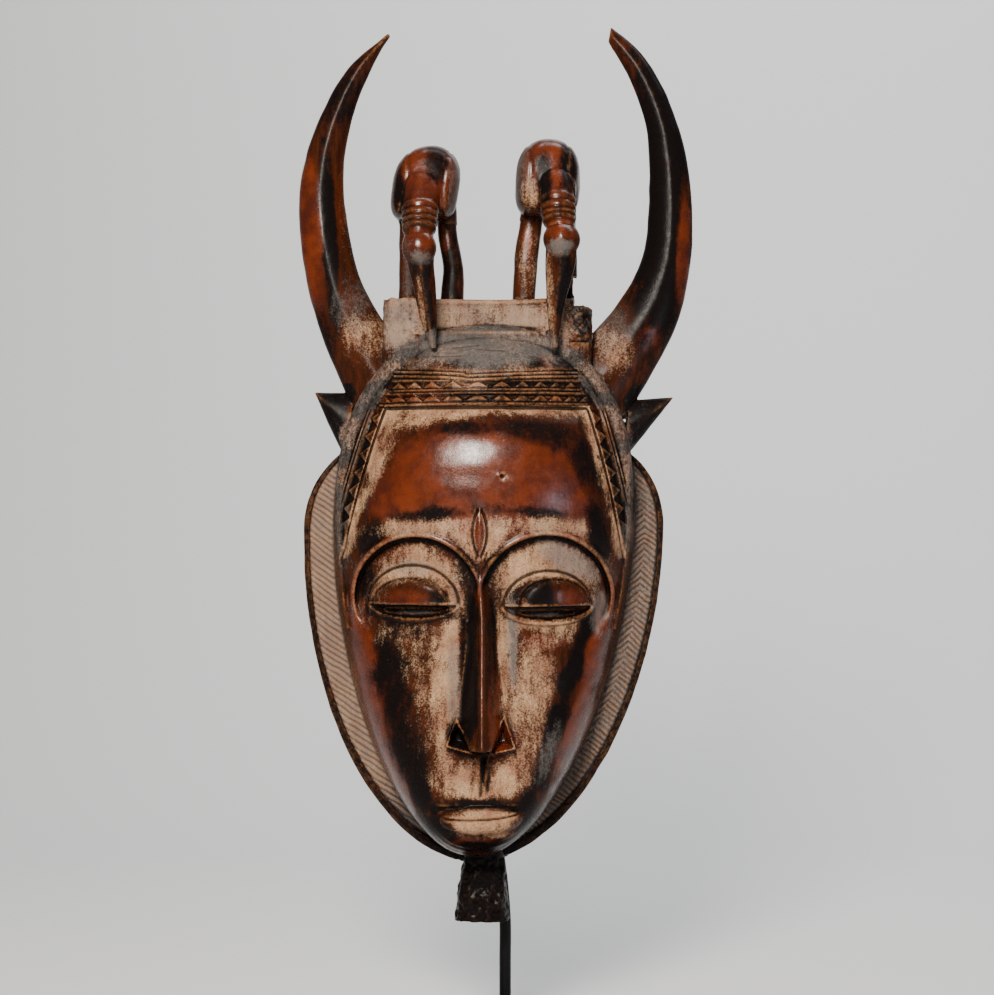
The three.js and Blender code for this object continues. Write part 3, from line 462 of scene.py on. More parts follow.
# A pair of hornbills stands on the platform. Each has a humped body with folded wings, two legs, a
# ringed neck that bends down in front, a round head, and a long bill that rests on the crown.
BIRDS = [
    {"body": [-28.8, 375.8, 16.1, 18.3, 0.13],
     "neck": [[-29.5, 28, 378, 14.5], [-30.5, 41, 370.5, 11], [-31.3, 47, 361, 8.6], [-31.6, 50, 353, 7.9],
              [-31.7, 52.5, 346.5, 7]],
     "head": [-31.7, 53.2, 341.5, 8.5, 9.3, 2],
     "bill": [[-31.4, 52, 340, 7.2], [-30.6, 52, 331, 6.4], [-29, 50.5, 320.6, 5.6], [-27.3, 48, 308, 4.3],
              [-25, 44.5, 292.5, 1.6]],
     "legs": [[[-38, 17, 366, 5], [-38, 17, 340, 5], [-37.8, 17, 316, 5.4]],
              [[-18.6, 17, 366, 4.4], [-18.3, 17, 352, 4.9], [-15.6, 17, 335, 5.2], [-16.3, 17, 316, 6]]]},
    {"body": [32.2, 378.8, 15.5, 19.0, 0.02],
     "neck": [[33, 28, 381, 14], [35.3, 41, 373.5, 10.5], [36.7, 47.5, 364, 8.2], [37.2, 50, 356, 7.5],
              [38.2, 52.5, 350.5, 7]],
     "head": [38.5, 53, 345.5, 9.1, 8.6, 1.65],
     "bill": [[38.4, 52, 343, 7.8], [38, 52.5, 335, 7.6], [37, 51.5, 325.5, 6.4], [35.4, 49, 310.6, 4],
              [35, 44.5, 293, 1.8]],
     "legs": [[[25, 17, 366, 5.6], [21.6, 17, 339, 6], [20.2, 17, 316, 5.7]],
              [[41.5, 17, 366, 5], [42.2, 17, 340, 5], [42.2, 17, 316, 5]]]},
]
BIRD_BODY = [[48, 3, 0.3, 0.3], [46.5, 2, 0.62, 0.64], [44, 1, 0.82, 0.84], [36, 0, 0.99, 0.99],
             [22, 0, 1, 1], [11, 4, 0.88, 0.8], [3.5, 9, 0.68, 0.52], [0.8, 13, 0.48, 0.3]]
BIRD = {"around": 72, "stations": 46, "round_back": 2.25, "square_belly": 4.2, "leg_depth": 6,
        "leg_power": 2.4, "leg_around": 28, "leg_stations": 30, "neck_around": 48,
        "bill_around": 36, "bill_power": 1.5, "head_rings": 30, "head_end": 0.04, "head_full": 0.9,
        "tube": 90, "rings": 4, "ring_pitch": 3.4, "ring_height": 0.85, "ring_start": 3, "ring_full": 0.7}
WING = {"share": 0.58, "bow": 2, "proud": 0.4, "edge": 0.9, "groove": [-0.5, -0.9, 0.7], "margin": 3,
        "depths": [3, 47.5], "fade": [3, 9]}


def tube(name, stations, around, power=2, swell=None):
    """A round rod along a path, whose half width swell changes by the way that is left to its end."""
    path = through(stations, BIRD["tube"])
    steps = np.linalg.norm(np.diff(path[:, :3], axis=0), axis=1)
    to_end = np.r_[np.cumsum(steps[::-1])[::-1], 0]
    rings = []
    for k, (x, depth, z, half) in enumerate(path):
        run = (path[min(k + 1, len(path) - 1)] - path[max(k - 1, 0)])[:3]
        up = np.cross(run / np.linalg.norm(run), [1, 0, 0])
        grown = half + (swell(to_end[k]) if swell else 0)
        rings.append(oval([x, depth, z], [grown, 0, 0], up * grown, around, power))
    return loft(name, rings)


def ringed(run):
    level = (run - BIRD["ring_start"]) / BIRD["ring_pitch"]
    if not 0 < level < BIRD["rings"]:
        return 0
    return BIRD["ring_height"] * np.sin(np.pi * (level % 1)) ** BIRD["ring_full"]


for number, bird in enumerate(BIRDS):
    x, z, half_x, half_z, shear = bird["body"]
    rings = []
    for depth, drop, share_x, share_z in through(BIRD_BODY, BIRD["stations"]):
        up = half_z * share_z
        rings.append(oval([x, depth, z - drop], [half_x * share_x, 0, 0], [shear * up, 0, up],
                          BIRD["around"], BIRD["round_back"], BIRD["square_belly"]))
    parts.append(loft("bird_body_%d" % number, rings))
    parts.append(tube("bird_neck_%d" % number, bird["neck"], BIRD["neck_around"], swell=ringed))
    parts.append(tube("bird_bill_%d" % number, bird["bill"], BIRD["bill_around"], BIRD["bill_power"]))
    head_x, head_front, head_z, wide, tall, power = bird["head"]
    turn = np.linspace(BIRD["head_end"], np.pi - BIRD["head_end"], BIRD["head_rings"])
    parts.append(loft("bird_head_%d" % number, [
        oval([head_x, head_front, head_z - np.cos(t) * tall], [half, 0, 0], [0, half, 0], BIRD["neck_around"],
             power) for t, half in zip(turn, np.sin(turn) ** BIRD["head_full"] * wide)]))
    for leg_number, leg in enumerate(bird["legs"]):
        parts.append(loft("bird_leg_%d_%d" % (number, leg_number), [
            oval([x, depth, z], [half, 0, 0], [0, BIRD["leg_depth"], 0], BIRD["leg_around"],
                 BIRD["leg_power"]) for x, depth, z, half in through(leg, BIRD["leg_stations"])]))

# Below the chin hangs a short rough tab for a beard, wider at its foot.
BEARD = {"depth": 14, "around": 60, "power": 3, "rings": 40,
         "stations": [[44, -9, 9, 9], [36, -10.1, 10.3, 9], [31.5, -10.4, 10.6, 9.4], [29, -11.4, 10.8, 9.8],
                      [23, -12, 11, 9.6], [20.5, -12.8, 11.3, 10.4], [12, -13.6, 11.8, 10.6],
                      [4, -14.6, 12, 10.8]]}
parts.append(loft("beard", [
    oval([(left + right) / 2, BEARD["depth"], z], [(right - left) / 2, 0, 0], [0, half, 0],
         BEARD["around"], BEARD["power"])
    for z, left, right, half in through(BEARD["stations"], BEARD["rings"])]))


# All of it is one piece of wood, so the shapes are joined into one skin, and its edges are worn soft.
def applied(thing):
    graph = bpy.context.evaluated_depsgraph_get()
    mesh = bpy.data.meshes.new_from_object(thing.evaluated_get(graph), depsgraph=graph)
    thing.modifiers.clear()
    thing.data = mesh


def discard(things):
    for thing in things:
        mesh = thing.data
        bpy.data.objects.remove(thing)
        bpy.data.meshes.remove(mesh)


for thing, way in [(part, "UNION") for part in parts] + [(cutter, "DIFFERENCE") for cutter in cutters]:
    step = mask.modifiers.new("join", "BOOLEAN")
    step.operation = way
    step.solver = "MANIFOLD"
    step.object = thing
applied(mask)
discard(parts + cutters)

SKIN_STEP = 0.5
skin = mask.modifiers.new("skin", "REMESH")
skin.mode = "VOXEL"
skin.voxel_size = SKIN_STEP * MM
applied(mask)

# The finer knife work comes after the shape: line pairs and rows of chip-cut triangles across the
# brow band, rims over the eyes, a groove above the lips, strokes on the flange and the marks of the
# tools. Each is cut into the joined skin along its own normal, in millimetres.


def lattice_hash(i, j, k):
    """A number from 0 to 1 that looks drawn at random and is the same for a corner each time."""
    number = (i * 374761393 + j * 668265263 + k * 2147483647) & 0xFFFFFFFF
    number = ((number ^ (number >> 13)) * 1274126177) & 0xFFFFFFFF
    return ((number ^ (number >> 16)) & 0xFFFF) / 0xFFFF


def grain(x, depth, z, size):
    """Smooth noise between 0 and 1 whose lumps are about as wide as size, a number or one per axis."""
    size = np.broadcast_to(size, 3)
    place = np.stack([x / size[0], depth / size[1], z / size[2]]) + 100.37
    cell = np.floor(place).astype(np.int64)
    t = place - cell
    t = t * t * (3 - 2 * t)
    total = 0
    for a in (0, 1):
        for b in (0, 1):
            for c in (0, 1):
                weight = (t[0] if a else 1 - t[0]) * (t[1] if b else 1 - t[1]) * (t[2] if c else 1 - t[2])
                total = total + weight * lattice_hash(cell[0] + a, cell[1] + b, cell[2] + c)
    return total


def bump(gap, width):
    return np.exp(-(gap / width) ** 2)


def spot(x, z, middle_x, middle_z, half_x, half_z):
    return bump(x - middle_x, half_x) * bump(z - middle_z, half_z)


def line_of(gap, line):
    """A line raised or cut along a gap, by its height, how far out it runs and its half width."""
    height, out, width = line
    return height * bump(gap - out, width)


def oval_gap(x, z, middle_x, middle_z, half_x, half_z):
    """About how far a place lies outside an upright oval, and inside it where negative."""
    out = oval_share(x, z, middle_x, middle_z, half_x, half_z)
    slope = np.hypot((x - middle_x) / half_x ** 2, (z - middle_z) / half_z ** 2) / np.maximum(out, 1e-3)
    return (out - 1) / np.maximum(slope, 1e-3)


def between(value, start, stop, soft=1.5):
    return fade(value, start - soft, start) * (1 - fade(value, stop, stop + soft))


BANDS = {
    "pairs": [
        {"from": -44, "to": -9.4, "at": 277.6, "tilt": -0.055, "apart": 1.15},
        {"from": -8.6, "to": 46, "at": 277.7, "tilt": 0.045, "apart": 1.0},
        {"from": -46, "to": 8.4, "at": 270.5, "tilt": 0.004, "apart": 0.85},
        {"from": 9, "to": 47, "at": 270.4, "tilt": 0.014, "apart": 0.85},
        {"from": -51, "to": 51, "at": 264.5, "tilt": 0.004, "apart": 0.0},
    ],
    "rows": [{"low": 271.9, "tall": 3.9, "from": -44, "to": 46},
             {"low": 265.4, "tall": 4, "from": -47, "to": 49}],
    "line": 0.55, "line_up": 0.35, "cut": 0.5, "cut_out": 1, "middle_cut": 0.45, "line_cut": 0.75,
    "wander": 0.25, "wander_size": 9, "pitch": 9.6, "start": -46.3, "sway": 0.35, "sway_size": 13.7,
    "chip": 1.35, "shallow": 0.72, "lean": 0.35, "row_ends": 3,
}


def band_relief(x, z):
    relief = np.zeros_like(x)
    for pair in BANDS["pairs"]:
        wander = BANDS["wander"] * (grain(x, 0 * x, z, BANDS["wander_size"]) - 0.5)
        off = z - pair["at"] - pair["tilt"] * x - wander
        apart = pair["apart"]
        outer = apart + BANDS["cut_out"]
        lines = bump(off - apart, BANDS["line"]) + (bump(off + apart, BANDS["line"]) if apart else 0)
        cuts = bump(off - outer, BANDS["cut"]) + bump(off + outer, BANDS["cut"])
        cuts = cuts + (bump(off, BANDS["middle_cut"]) if apart else 0)
        relief += between(x, pair["from"], pair["to"]) * (BANDS["line_up"] * lines - BANDS["line_cut"] * cuts)
    # A chip is deepest along its straight side, and its share of the row's height fades in over a hair.
    run = x - BANDS["start"]
    phase = run / BANDS["pitch"] + BANDS["sway"] * np.sin(run / BANDS["sway_size"])
    for row in BANDS["rows"]:
        share = (z - row["low"]) / row["tall"]
        over = share - np.abs(2 * ((phase + 0.5) % 1) - 1)
        inside = fade(share, -0.05, 0.05) * (1 - fade(share, 0.98, 1.1))
        pit = fade(over, -0.06, 0.14) * inside * mix(BANDS["shallow"], 1, share)
        lean = (1 - fade(over, -0.06, 0.06)) * inside * share * BANDS["lean"]
        relief -= between(x, row["from"], row["to"], BANDS["row_ends"]) * (BANDS["chip"] * pit + lean)
    return relief


SIDE_BAND = {"top": 260, "foot": 196, "worn": 30, "pitch": 9, "wide": 5.2, "chip": 1.2, "edge": [-0.05, 0.15],
             "inner": [0.08, 0.2], "outer": [0.95, 1.1], "lines_at": [6.3, 8.0],
             "lines": [[0.3, 0, 0.5], [-0.5, 0.9, 0.45]]}
FRAME_LINE = {"sides": [[0.8, 2.0, 0.8], [-0.9, 0.6, 0.55]], "top": [-0.9, 0.6, 0.6],
              "from": [170, 210], "to": [261, 263], "ends": [49, 50.5]}


def side_relief(x, z):
    """Chip-cut triangles down both outer sides of the frame, worn faint towards the temples."""
    out = np.abs(x - midline(z)) - frame_half(z)
    worn = fade(z, SIDE_BAND["foot"], SIDE_BAND["foot"] + SIDE_BAND["worn"])
    worn = worn * (1 - fade(z, SIDE_BAND["top"], FRAME["top"]))
    tooth = np.abs(2 * (((z - FRAME["foot"]) / SIDE_BAND["pitch"]) % 1) - 1)
    share = out / SIDE_BAND["wide"]
    inside = fade(share, *SIDE_BAND["inner"]) * (1 - fade(share, *SIDE_BAND["outer"]))
    relief = -SIDE_BAND["chip"] * worn * fade(share - tooth, *SIDE_BAND["edge"]) * inside
    for at in SIDE_BAND["lines_at"]:
        relief += worn * sum(line_of(out - at, line) for line in SIDE_BAND["lines"])
    edge = fade(z, *FRAME_LINE["from"]) * (1 - fade(z, *FRAME_LINE["to"]))
    relief += edge * sum(line_of(-out, line) for line in FRAME_LINE["sides"])
    across = 1 - fade(np.abs(x - midline(z)), *FRAME_LINE["ends"])
    return relief + across * line_of(FRAME["top"] - z, FRAME_LINE["top"])


# Each row raises or cuts a line round an oval: its height, how far out it runs and its half width.
BROW_LINES = [[0.85, 1.1, 0.95], [-0.5, 4.2, 1.9], [-0.6, -1, 0.8]]
EYE_LINES = {"brow_from": [158, 172], "lid": [-0.7, 0.5, 0.75], "lid_from": [-0.5, 1.5],
             "edge": [0.35, 0.7, 0.6], "under": [0.75, 1.0, 0.9], "under_drop": 7.6, "under_to": [-1, 0]}


def eye_relief(x, z):
    relief = np.zeros_like(x)
    for number, eye in enumerate(SOCKETS):
        brow = oval_gap(x, z, eye["x"], eye["z"], eye["half_x"], eye["half_z"])
        relief += fade(z, *EYE_LINES["brow_from"]) * sum(line_of(brow, line) for line in BROW_LINES)
        lid = oval_gap(x, z, eye["eye_x"], eye["eye_z"], eye["lid_x"], eye["lid_z"])
        level = z - eye["eye_z"]
        relief += fade(level, *EYE_LINES["lid_from"]) * line_of(lid, EYE_LINES["lid"])
        inside = between(np.abs(x - eye["eye_x"]), -1, SLIT["half"] - 1)
        relief += inside * line_of(level, EYE_LINES["edge"])
        # Only the second eye, on the right of the picture, has a raised rim below it.
        if number:
            under = oval_gap(x, z, eye["eye_x"], eye["eye_z"], SLIT["half"], EYE_LINES["under_drop"])
            relief += (1 - fade(level, *EYE_LINES["under_to"])) * line_of(under, EYE_LINES["under"])
    return relief


MOUTH = {"groove_z": 67, "sag": 0.002, "groove": [-1.1, 0, 1.0], "groove_ends": [-21, 15, 4],
         "line_z": 61.4, "tilt": 0.05, "bend": 0.004, "line": [-1.3, 0, 0.65],
         "line_ends": [-17.5, 15.5, 2.5], "corner": 0.7,
         "corners": [[-23.5, 65.8, 2.4, 1.8], [16.5, 66.5, 2.4, 1.8]]}
PHILTRUM = {"foot": [70, 74], "top": [90, 94], "from_z": 92, "x": -1.2, "lean": 0.096,
            "lines": [[-1.7, 1.6, 1.2], [0.5, -1.6, 1.3]]}
CHIN_LINES = {"drops": [5.5, 8.8, 12.0], "below": 2, "spread": 0.5, "line": [-0.3, 0, 0.8], "to": [50, 56]}
CHIN_NOTCH = {"deep": 1.1, "spot": [-0.9, 52.3, 1.1, 1.6]}


def lower_face_relief(x, z):
    run = fade(z, *PHILTRUM["foot"]) * (1 - fade(z, *PHILTRUM["top"]))
    off = x - PHILTRUM["x"] + PHILTRUM["lean"] * (PHILTRUM["from_z"] - z)
    relief = run * sum(line_of(off, line) for line in PHILTRUM["lines"])
    across = x - LIPS["x"]
    over = MOUTH["groove_z"] - MOUTH["sag"] * across ** 2
    relief += between(x, *MOUTH["groove_ends"]) * line_of(z - over, MOUTH["groove"])
    for corner in MOUTH["corners"]:
        relief -= MOUTH["corner"] * spot(x, z, *corner)
    line = MOUTH["line_z"] + MOUTH["tilt"] * across + MOUTH["bend"] * across ** 2
    relief += between(x, *MOUTH["line_ends"]) * line_of(z - line, MOUTH["line"])
    relief -= CHIN_NOTCH["deep"] * spot(x, z, *CHIN_NOTCH["spot"])
    for drop in CHIN_LINES["drops"]:
        half_x = LIPS["half_x"] + CHIN_LINES["spread"] * drop
        half_z = LIPS["half_z"] + CHIN_LINES["below"] + drop
        gap = oval_gap(x, z, LIPS["x"], LIPS["z"] + CHIN_LINES["below"], half_x, half_z)
        relief += (1 - fade(z, *CHIN_LINES["to"])) * line_of(gap, CHIN_LINES["line"])
    return relief


# Lines run down both flanks of the nose, whose half width is given at its foot and its root, and a dent
# lies below it.
NOSE_SIDE = {"half": [11.5, 7.8], "half_fade": [108, 150], "foot": [98, 104], "root": [160, 175],
             "lines": [[0.4, 0, 0.8], [-0.6, 3.4, 1.9]], "crest": [-0.55, 2.6, 1.0],
             "dent": [-0.8, 1, 6], "dent_foot": [86, 93], "dent_top": [94, 95]}


def nose_relief(x, z):
    run = fade(z, *NOSE_SIDE["foot"]) * (1 - fade(z, *NOSE_SIDE["root"]))
    aside = np.abs(x - NOSE["x"])
    gap = aside - mix(*NOSE_SIDE["half"], fade(z, *NOSE_SIDE["half_fade"]))
    sides = sum(line_of(gap, line) for line in NOSE_SIDE["lines"])
    relief = run * (sides + line_of(aside, NOSE_SIDE["crest"]))
    below = fade(z, *NOSE_SIDE["dent_foot"]) * (1 - fade(z, *NOSE_SIDE["dent_top"]))
    return relief + below * line_of(x, NOSE_SIDE["dent"])


# A knot hole, worm pits and scratches where the wood has been knocked. A pit has its middle and half
# width, a level scratch its middle and tilt, and an upright one its foot and length.
KNOT = {"x": 9.1, "z": 228.8, "half": 0.9, "deep": 2.2, "lip": 0.4, "lip_spot": [7.5, 228.8, 0.7, 1.3]}
PITS = [[18.2, 148.5, 1.1], [20.4, 145.8, 0.8], [-62, 176, 0.6], [-1, 257.5, 0.5]]
LEVEL_SCRATCHES = [[-9, 293.5, 0.1], [4, 291.5, -0.05], [-18, 288.5, 0.02]]
UPRIGHT_SCRATCHES = [[-3.6, 188.2, 4.5], [0.6, 187.2, 4]]
SCRATCH = {"pit": 0.9, "level": [-0.4, 0, 0.45], "half": 6, "soft": 2, "upright": [-0.7, 0, 0.5],
           "lean": 0.25}
SCAR_LINES = [[0.5, -0.3, 0.5], [-0.9, 0.9, 0.7]]


def mark_relief(x, z):
    swell = np.clip(1 - ((z - SCAR["z"]) / SCAR["half"]) ** 2, 0, 1)
    leaf = np.abs(x - SCAR["x"]) - SCAR["width"] / 2 * swell
    beside = between(z, SCAR["z"] - SCAR["half"], SCAR["z"] + SCAR["half"])
    relief = beside * sum(line_of(leaf, line) for line in SCAR_LINES)
    far = np.hypot(x - KNOT["x"], z - KNOT["z"]) / KNOT["half"]
    relief -= KNOT["deep"] * np.exp(-far ** 3)
    relief += KNOT["lip"] * spot(x, z, *KNOT["lip_spot"])
    for pit_x, pit_z, half in PITS:
        relief -= SCRATCH["pit"] * spot(x, z, pit_x, pit_z, half, half)
    for cut_x, cut_z, tilt in LEVEL_SCRATCHES:
        along = between(x - cut_x, -SCRATCH["half"], SCRATCH["half"], SCRATCH["soft"])
        relief += along * line_of(z - cut_z - tilt * (x - cut_x), SCRATCH["level"])
    for cut_x, low, tall in UPRIGHT_SCRATCHES:
        aside = x - cut_x - SCRATCH["lean"] * (z - low)
        relief += between(z, low, low + tall) * line_of(aside, SCRATCH["upright"])
    return relief


# The flange's strokes lean one way on the left. On the right two rows lean against each other.
STROKES = {"pitch": 2.7, "deep": 0.55, "edge": [2.6, 4], "rim": [-0.5, 3.4, 0.7], "row": 9.9,
           "jog": 1.3, "jog_size": 7, "right_jog": 1.4, "left": [0.56, 0.83], "left_close": [1.15, 0.9],
           "close_from": [190, 80], "right": [0.62, -0.6, 0.8], "closer": 0.93, "right_deep": 0.85,
           "thin": [0.6, 1], "thin_size": [4, 1, 4], "thin_fade": [0.3, 0.6], "sharp": 1.6}


def flange_relief(x, z):
    span = (1 - egg_share(FLANGE, x, z)) * FLANGE["half"]
    field = fade(span, *STROKES["edge"])
    jog = STROKES["jog"] * (grain(x, 0 * x, z, STROKES["jog_size"]) - 0.5)
    close = mix(*STROKES["left_close"], fade(z, *STROKES["close_from"]))
    left = (STROKES["left"][0] * close * (x + 90) + STROKES["left"][1] * z + jog) / STROKES["pitch"]
    outer, inner, rise = STROKES["right"]
    lean = np.where(span > STROKES["row"], inner, outer)
    right = (lean * (x - 80) + rise * z + STROKES["right_jog"] * jog) / STROKES["pitch"] / STROKES["closer"]
    broken = mix(*STROKES["thin"], fade(grain(x, 0 * x, z, STROKES["thin_size"]), *STROKES["thin_fade"]))
    deep = STROKES["deep"] * np.where(x < 0, 1, STROKES["right_deep"] * broken)
    cut = (0.5 - 0.5 * np.cos(2 * np.pi * np.where(x < 0, left, right))) ** STROKES["sharp"]
    return line_of(span, STROKES["rim"]) - field * deep * cut


def normals_of(points, faces):
    first, second = points[faces[:, 2]] - points[faces[:, 0]], points[faces[:, 3]] - points[faces[:, 1]]
    face_normal = np.cross(first, second)
    total = np.zeros_like(points)
    for corner in range(4):
        for axis in range(3):
            total[:, axis] += np.bincount(faces[:, corner], face_normal[:, axis], len(points))
    return total / np.maximum(np.linalg.norm(total, axis=1, keepdims=True), 1e-12)


def read(thing):
    mesh = thing.data
    points = np.empty(len(mesh.vertices) * 3)
    mesh.vertices.foreach_get("co", points)
    points = points.reshape(-1, 3) / MM
    return np.stack([points[:, 0], BACK_Y - points[:, 1], points[:, 2] - MASK_LIFT], axis=1)


def write(thing, local):
    corners = np.stack([local[:, 0], BACK_Y - local[:, 1], local[:, 2] + MASK_LIFT], axis=1) * MM
    thing.data.vertices.foreach_set("co", corners.ravel())
    thing.data.update()


def quads(thing):
    corners = np.empty(len(thing.data.loops), dtype=np.int64)
    thing.data.loops.foreach_get("vertex_index", corners)
    return corners.reshape(-1, 4)


def lumps(x, depth, z, waves):
    return sum((grain(x, depth, z, size) - 0.5) * height for size, height in waves)


def within(value, low, high):
    return (value > low) & (value < high)


# The knife leaves soft facets everywhere. The platform's broken end, the beard and the platform's
# rounded end are rough, and two mouldings run along the platform's front.
FACETS = [([11, 11, 7], 0.45), (3.5, 0.12)]
ROUGH = [([3.2, 3.2, 4.5], 2.6), (1.4, 0.8)]
MOULDINGS = [[0.7, 300.6, 1.1], [0.5, 316.6, 0.9], [-0.5, 303.4, 1.3]]
REACH = {"low": [-94.2, 0, 4], "high": [106.1, 84, 457.8]}

# Cuts go only where the skin faces forward and still lies close to the face as it was drawn, or to the
# front of the flange.
CUT_FACE = {"turned": [0.02, 0.25], "over": 9, "near": 2.5}
CUT_FLANGE = {"turned": 0.6, "near": 1, "share": 0.97, "top": 256}
skin_faces = quads(mask)
local = read(mask)
facing = -normals_of(local, skin_faces)
x, depth, z = local.T
plain = head_depth(x, z)
in_egg = egg_share(HEAD, x, z)
front = fade(facing[:, 1], *CUT_FACE["turned"])
on_face = front * (np.abs(depth - face_depth(x, z)) < CUT_FACE["near"])
on_face = on_face * (depth > CUT_FACE["over"]) * (in_egg < 1)
relief = on_face * (band_relief(x, z) + side_relief(x, z) + eye_relief(x, z) + lower_face_relief(x, z)
                    + nose_relief(x, z) + mark_relief(x, z))
on_flange = (facing[:, 1] > CUT_FLANGE["turned"]) & (in_egg > CUT_FLANGE["share"]) & (z < CUT_FLANGE["top"])
on_flange = on_flange & (np.abs(depth - FLANGE_PLATE["thick"]) < CUT_FLANGE["near"])
relief += on_flange * flange_relief(x, z)
rough = (fade(x, 41, 46) * (within(x, 0, 54.5) & within(z, 296, 330) & (depth < 40))
         + 0.9 * (within(x, -16, 16) & (z < 36))
         + 0.5 * (within(x, -51, -28) & within(z, 300, 320) & within(depth, 4, 40)))
for bird in BIRDS:
    bird_x, bird_z, half_x, half_z, shear = bird["body"]
    level = (z - bird_z) / half_z
    out = np.abs(x - bird_x - shear * half_z * level) - WING["share"] * half_x - WING["bow"] * level ** 2
    winged = within(np.abs(x - bird_x), -1, half_x + WING["margin"]) & within(level, -1.05, 1.05)
    step = WING["proud"] * (fade(out, 0, WING["edge"]) + line_of(out, WING["groove"]))
    relief += winged * within(depth, *WING["depths"]) * step * fade(depth, *WING["fade"])
shelf = within(z, 288, 318) & within(depth, 8, 38) & within(x, -27, 31) & (in_egg > 0.9)
relief += shelf * front * sum(line_of(z, line) for line in MOULDINGS)
relief += rough * lumps(x, depth, z, ROUGH) + lumps(x, depth, z, FACETS)
local = np.clip(local + facing * relief[:, None], REACH["low"], REACH["high"])
write(mask, local)


def smoothed(points, faces, rounds):
    around = np.stack([faces, np.roll(faces, -1, axis=1)], axis=-1).reshape(-1, 2)
    ties = np.bincount(around[:, 0], minlength=len(points)) + np.bincount(around[:, 1], minlength=len(points))
    for _ in range(rounds):
        points = np.stack([(np.bincount(around[:, 0], points[around[:, 1], axis], len(points))
                            + np.bincount(around[:, 1], points[around[:, 0], axis], len(points))) / ties
                           for axis in range(3)], axis=1)
    return points


# How far a place lies below its smoothed self tells the fine cuts, and then the broad hollows.
SMOOTHING = {"fine": 3, "broad": 22}
facing = -normals_of(local, skin_faces)
near = smoothed(local, skin_faces, SMOOTHING["fine"])
wide = smoothed(near, skin_faces, SMOOTHING["broad"])
dense = {"place": local, "fine": np.sum((near - local) * facing, axis=1),
         "broad": np.sum((wide - local) * facing, axis=1), "turned": facing[:, 1]}

# The export takes two hundred thousand triangles, so the hollow behind is thinned first and the rest
# after it, where flat places give up more than carved ones.
THIN = {"triangles": 196000, "unseen": 0.9}
unseen = (depth < plain - 8) & (in_egg < 0.95) | (depth < 3)
group = mask.vertex_groups.new(name="unseen")
group.add(np.flatnonzero(unseen).tolist(), 1, "REPLACE")
for group_name, ratio in (("unseen", 1 - THIN["unseen"] * unseen.mean()), ("", 0)):
    thin = mask.modifiers.new("thin", "DECIMATE")
    thin.ratio = ratio or THIN["triangles"] / sum(len(face.vertices) - 2 for face in mask.data.polygons)
    thin.vertex_group = group_name
    thin.use_collapse_triangulate = True
    applied(mask)
mask.vertex_groups.clear()
mask.data.polygons.foreach_set("use_smooth", np.ones(len(mask.data.polygons), bool))
local = np.clip(read(mask), REACH["low"], REACH["high"])
write(mask, local)

# Its surface has been oiled, danced in, smoked and dusted over. High places are rubbed to an orange
# brown shine, hollows hold pale dust, sharp cuts are darkened near black, partly with grime and partly as
# painted shade, and soot lies in patches, a few of which are painted shade in grooves and slits. Each of
# these is a share stored on the mesh: one row for a patch gives its middle, half sizes, tilt and share.
lookup = mathutils.kdtree.KDTree(len(dense["place"]))
for index, place in enumerate(dense["place"].tolist()):
    lookup.insert(place, index)
lookup.balance()
nearest = np.array([lookup.find(place)[1] for place in local.tolist()])
fine_hollow, broad_hollow, turned = (dense[key][nearest] for key in ("fine", "broad", "turned"))
x, depth, z = local.T
in_egg = egg_share(HEAD, x, z)
inset = frame_inset(x, z)
plain = head_depth(x, z)
ahead = fade(turned, -0.15, 0.2)
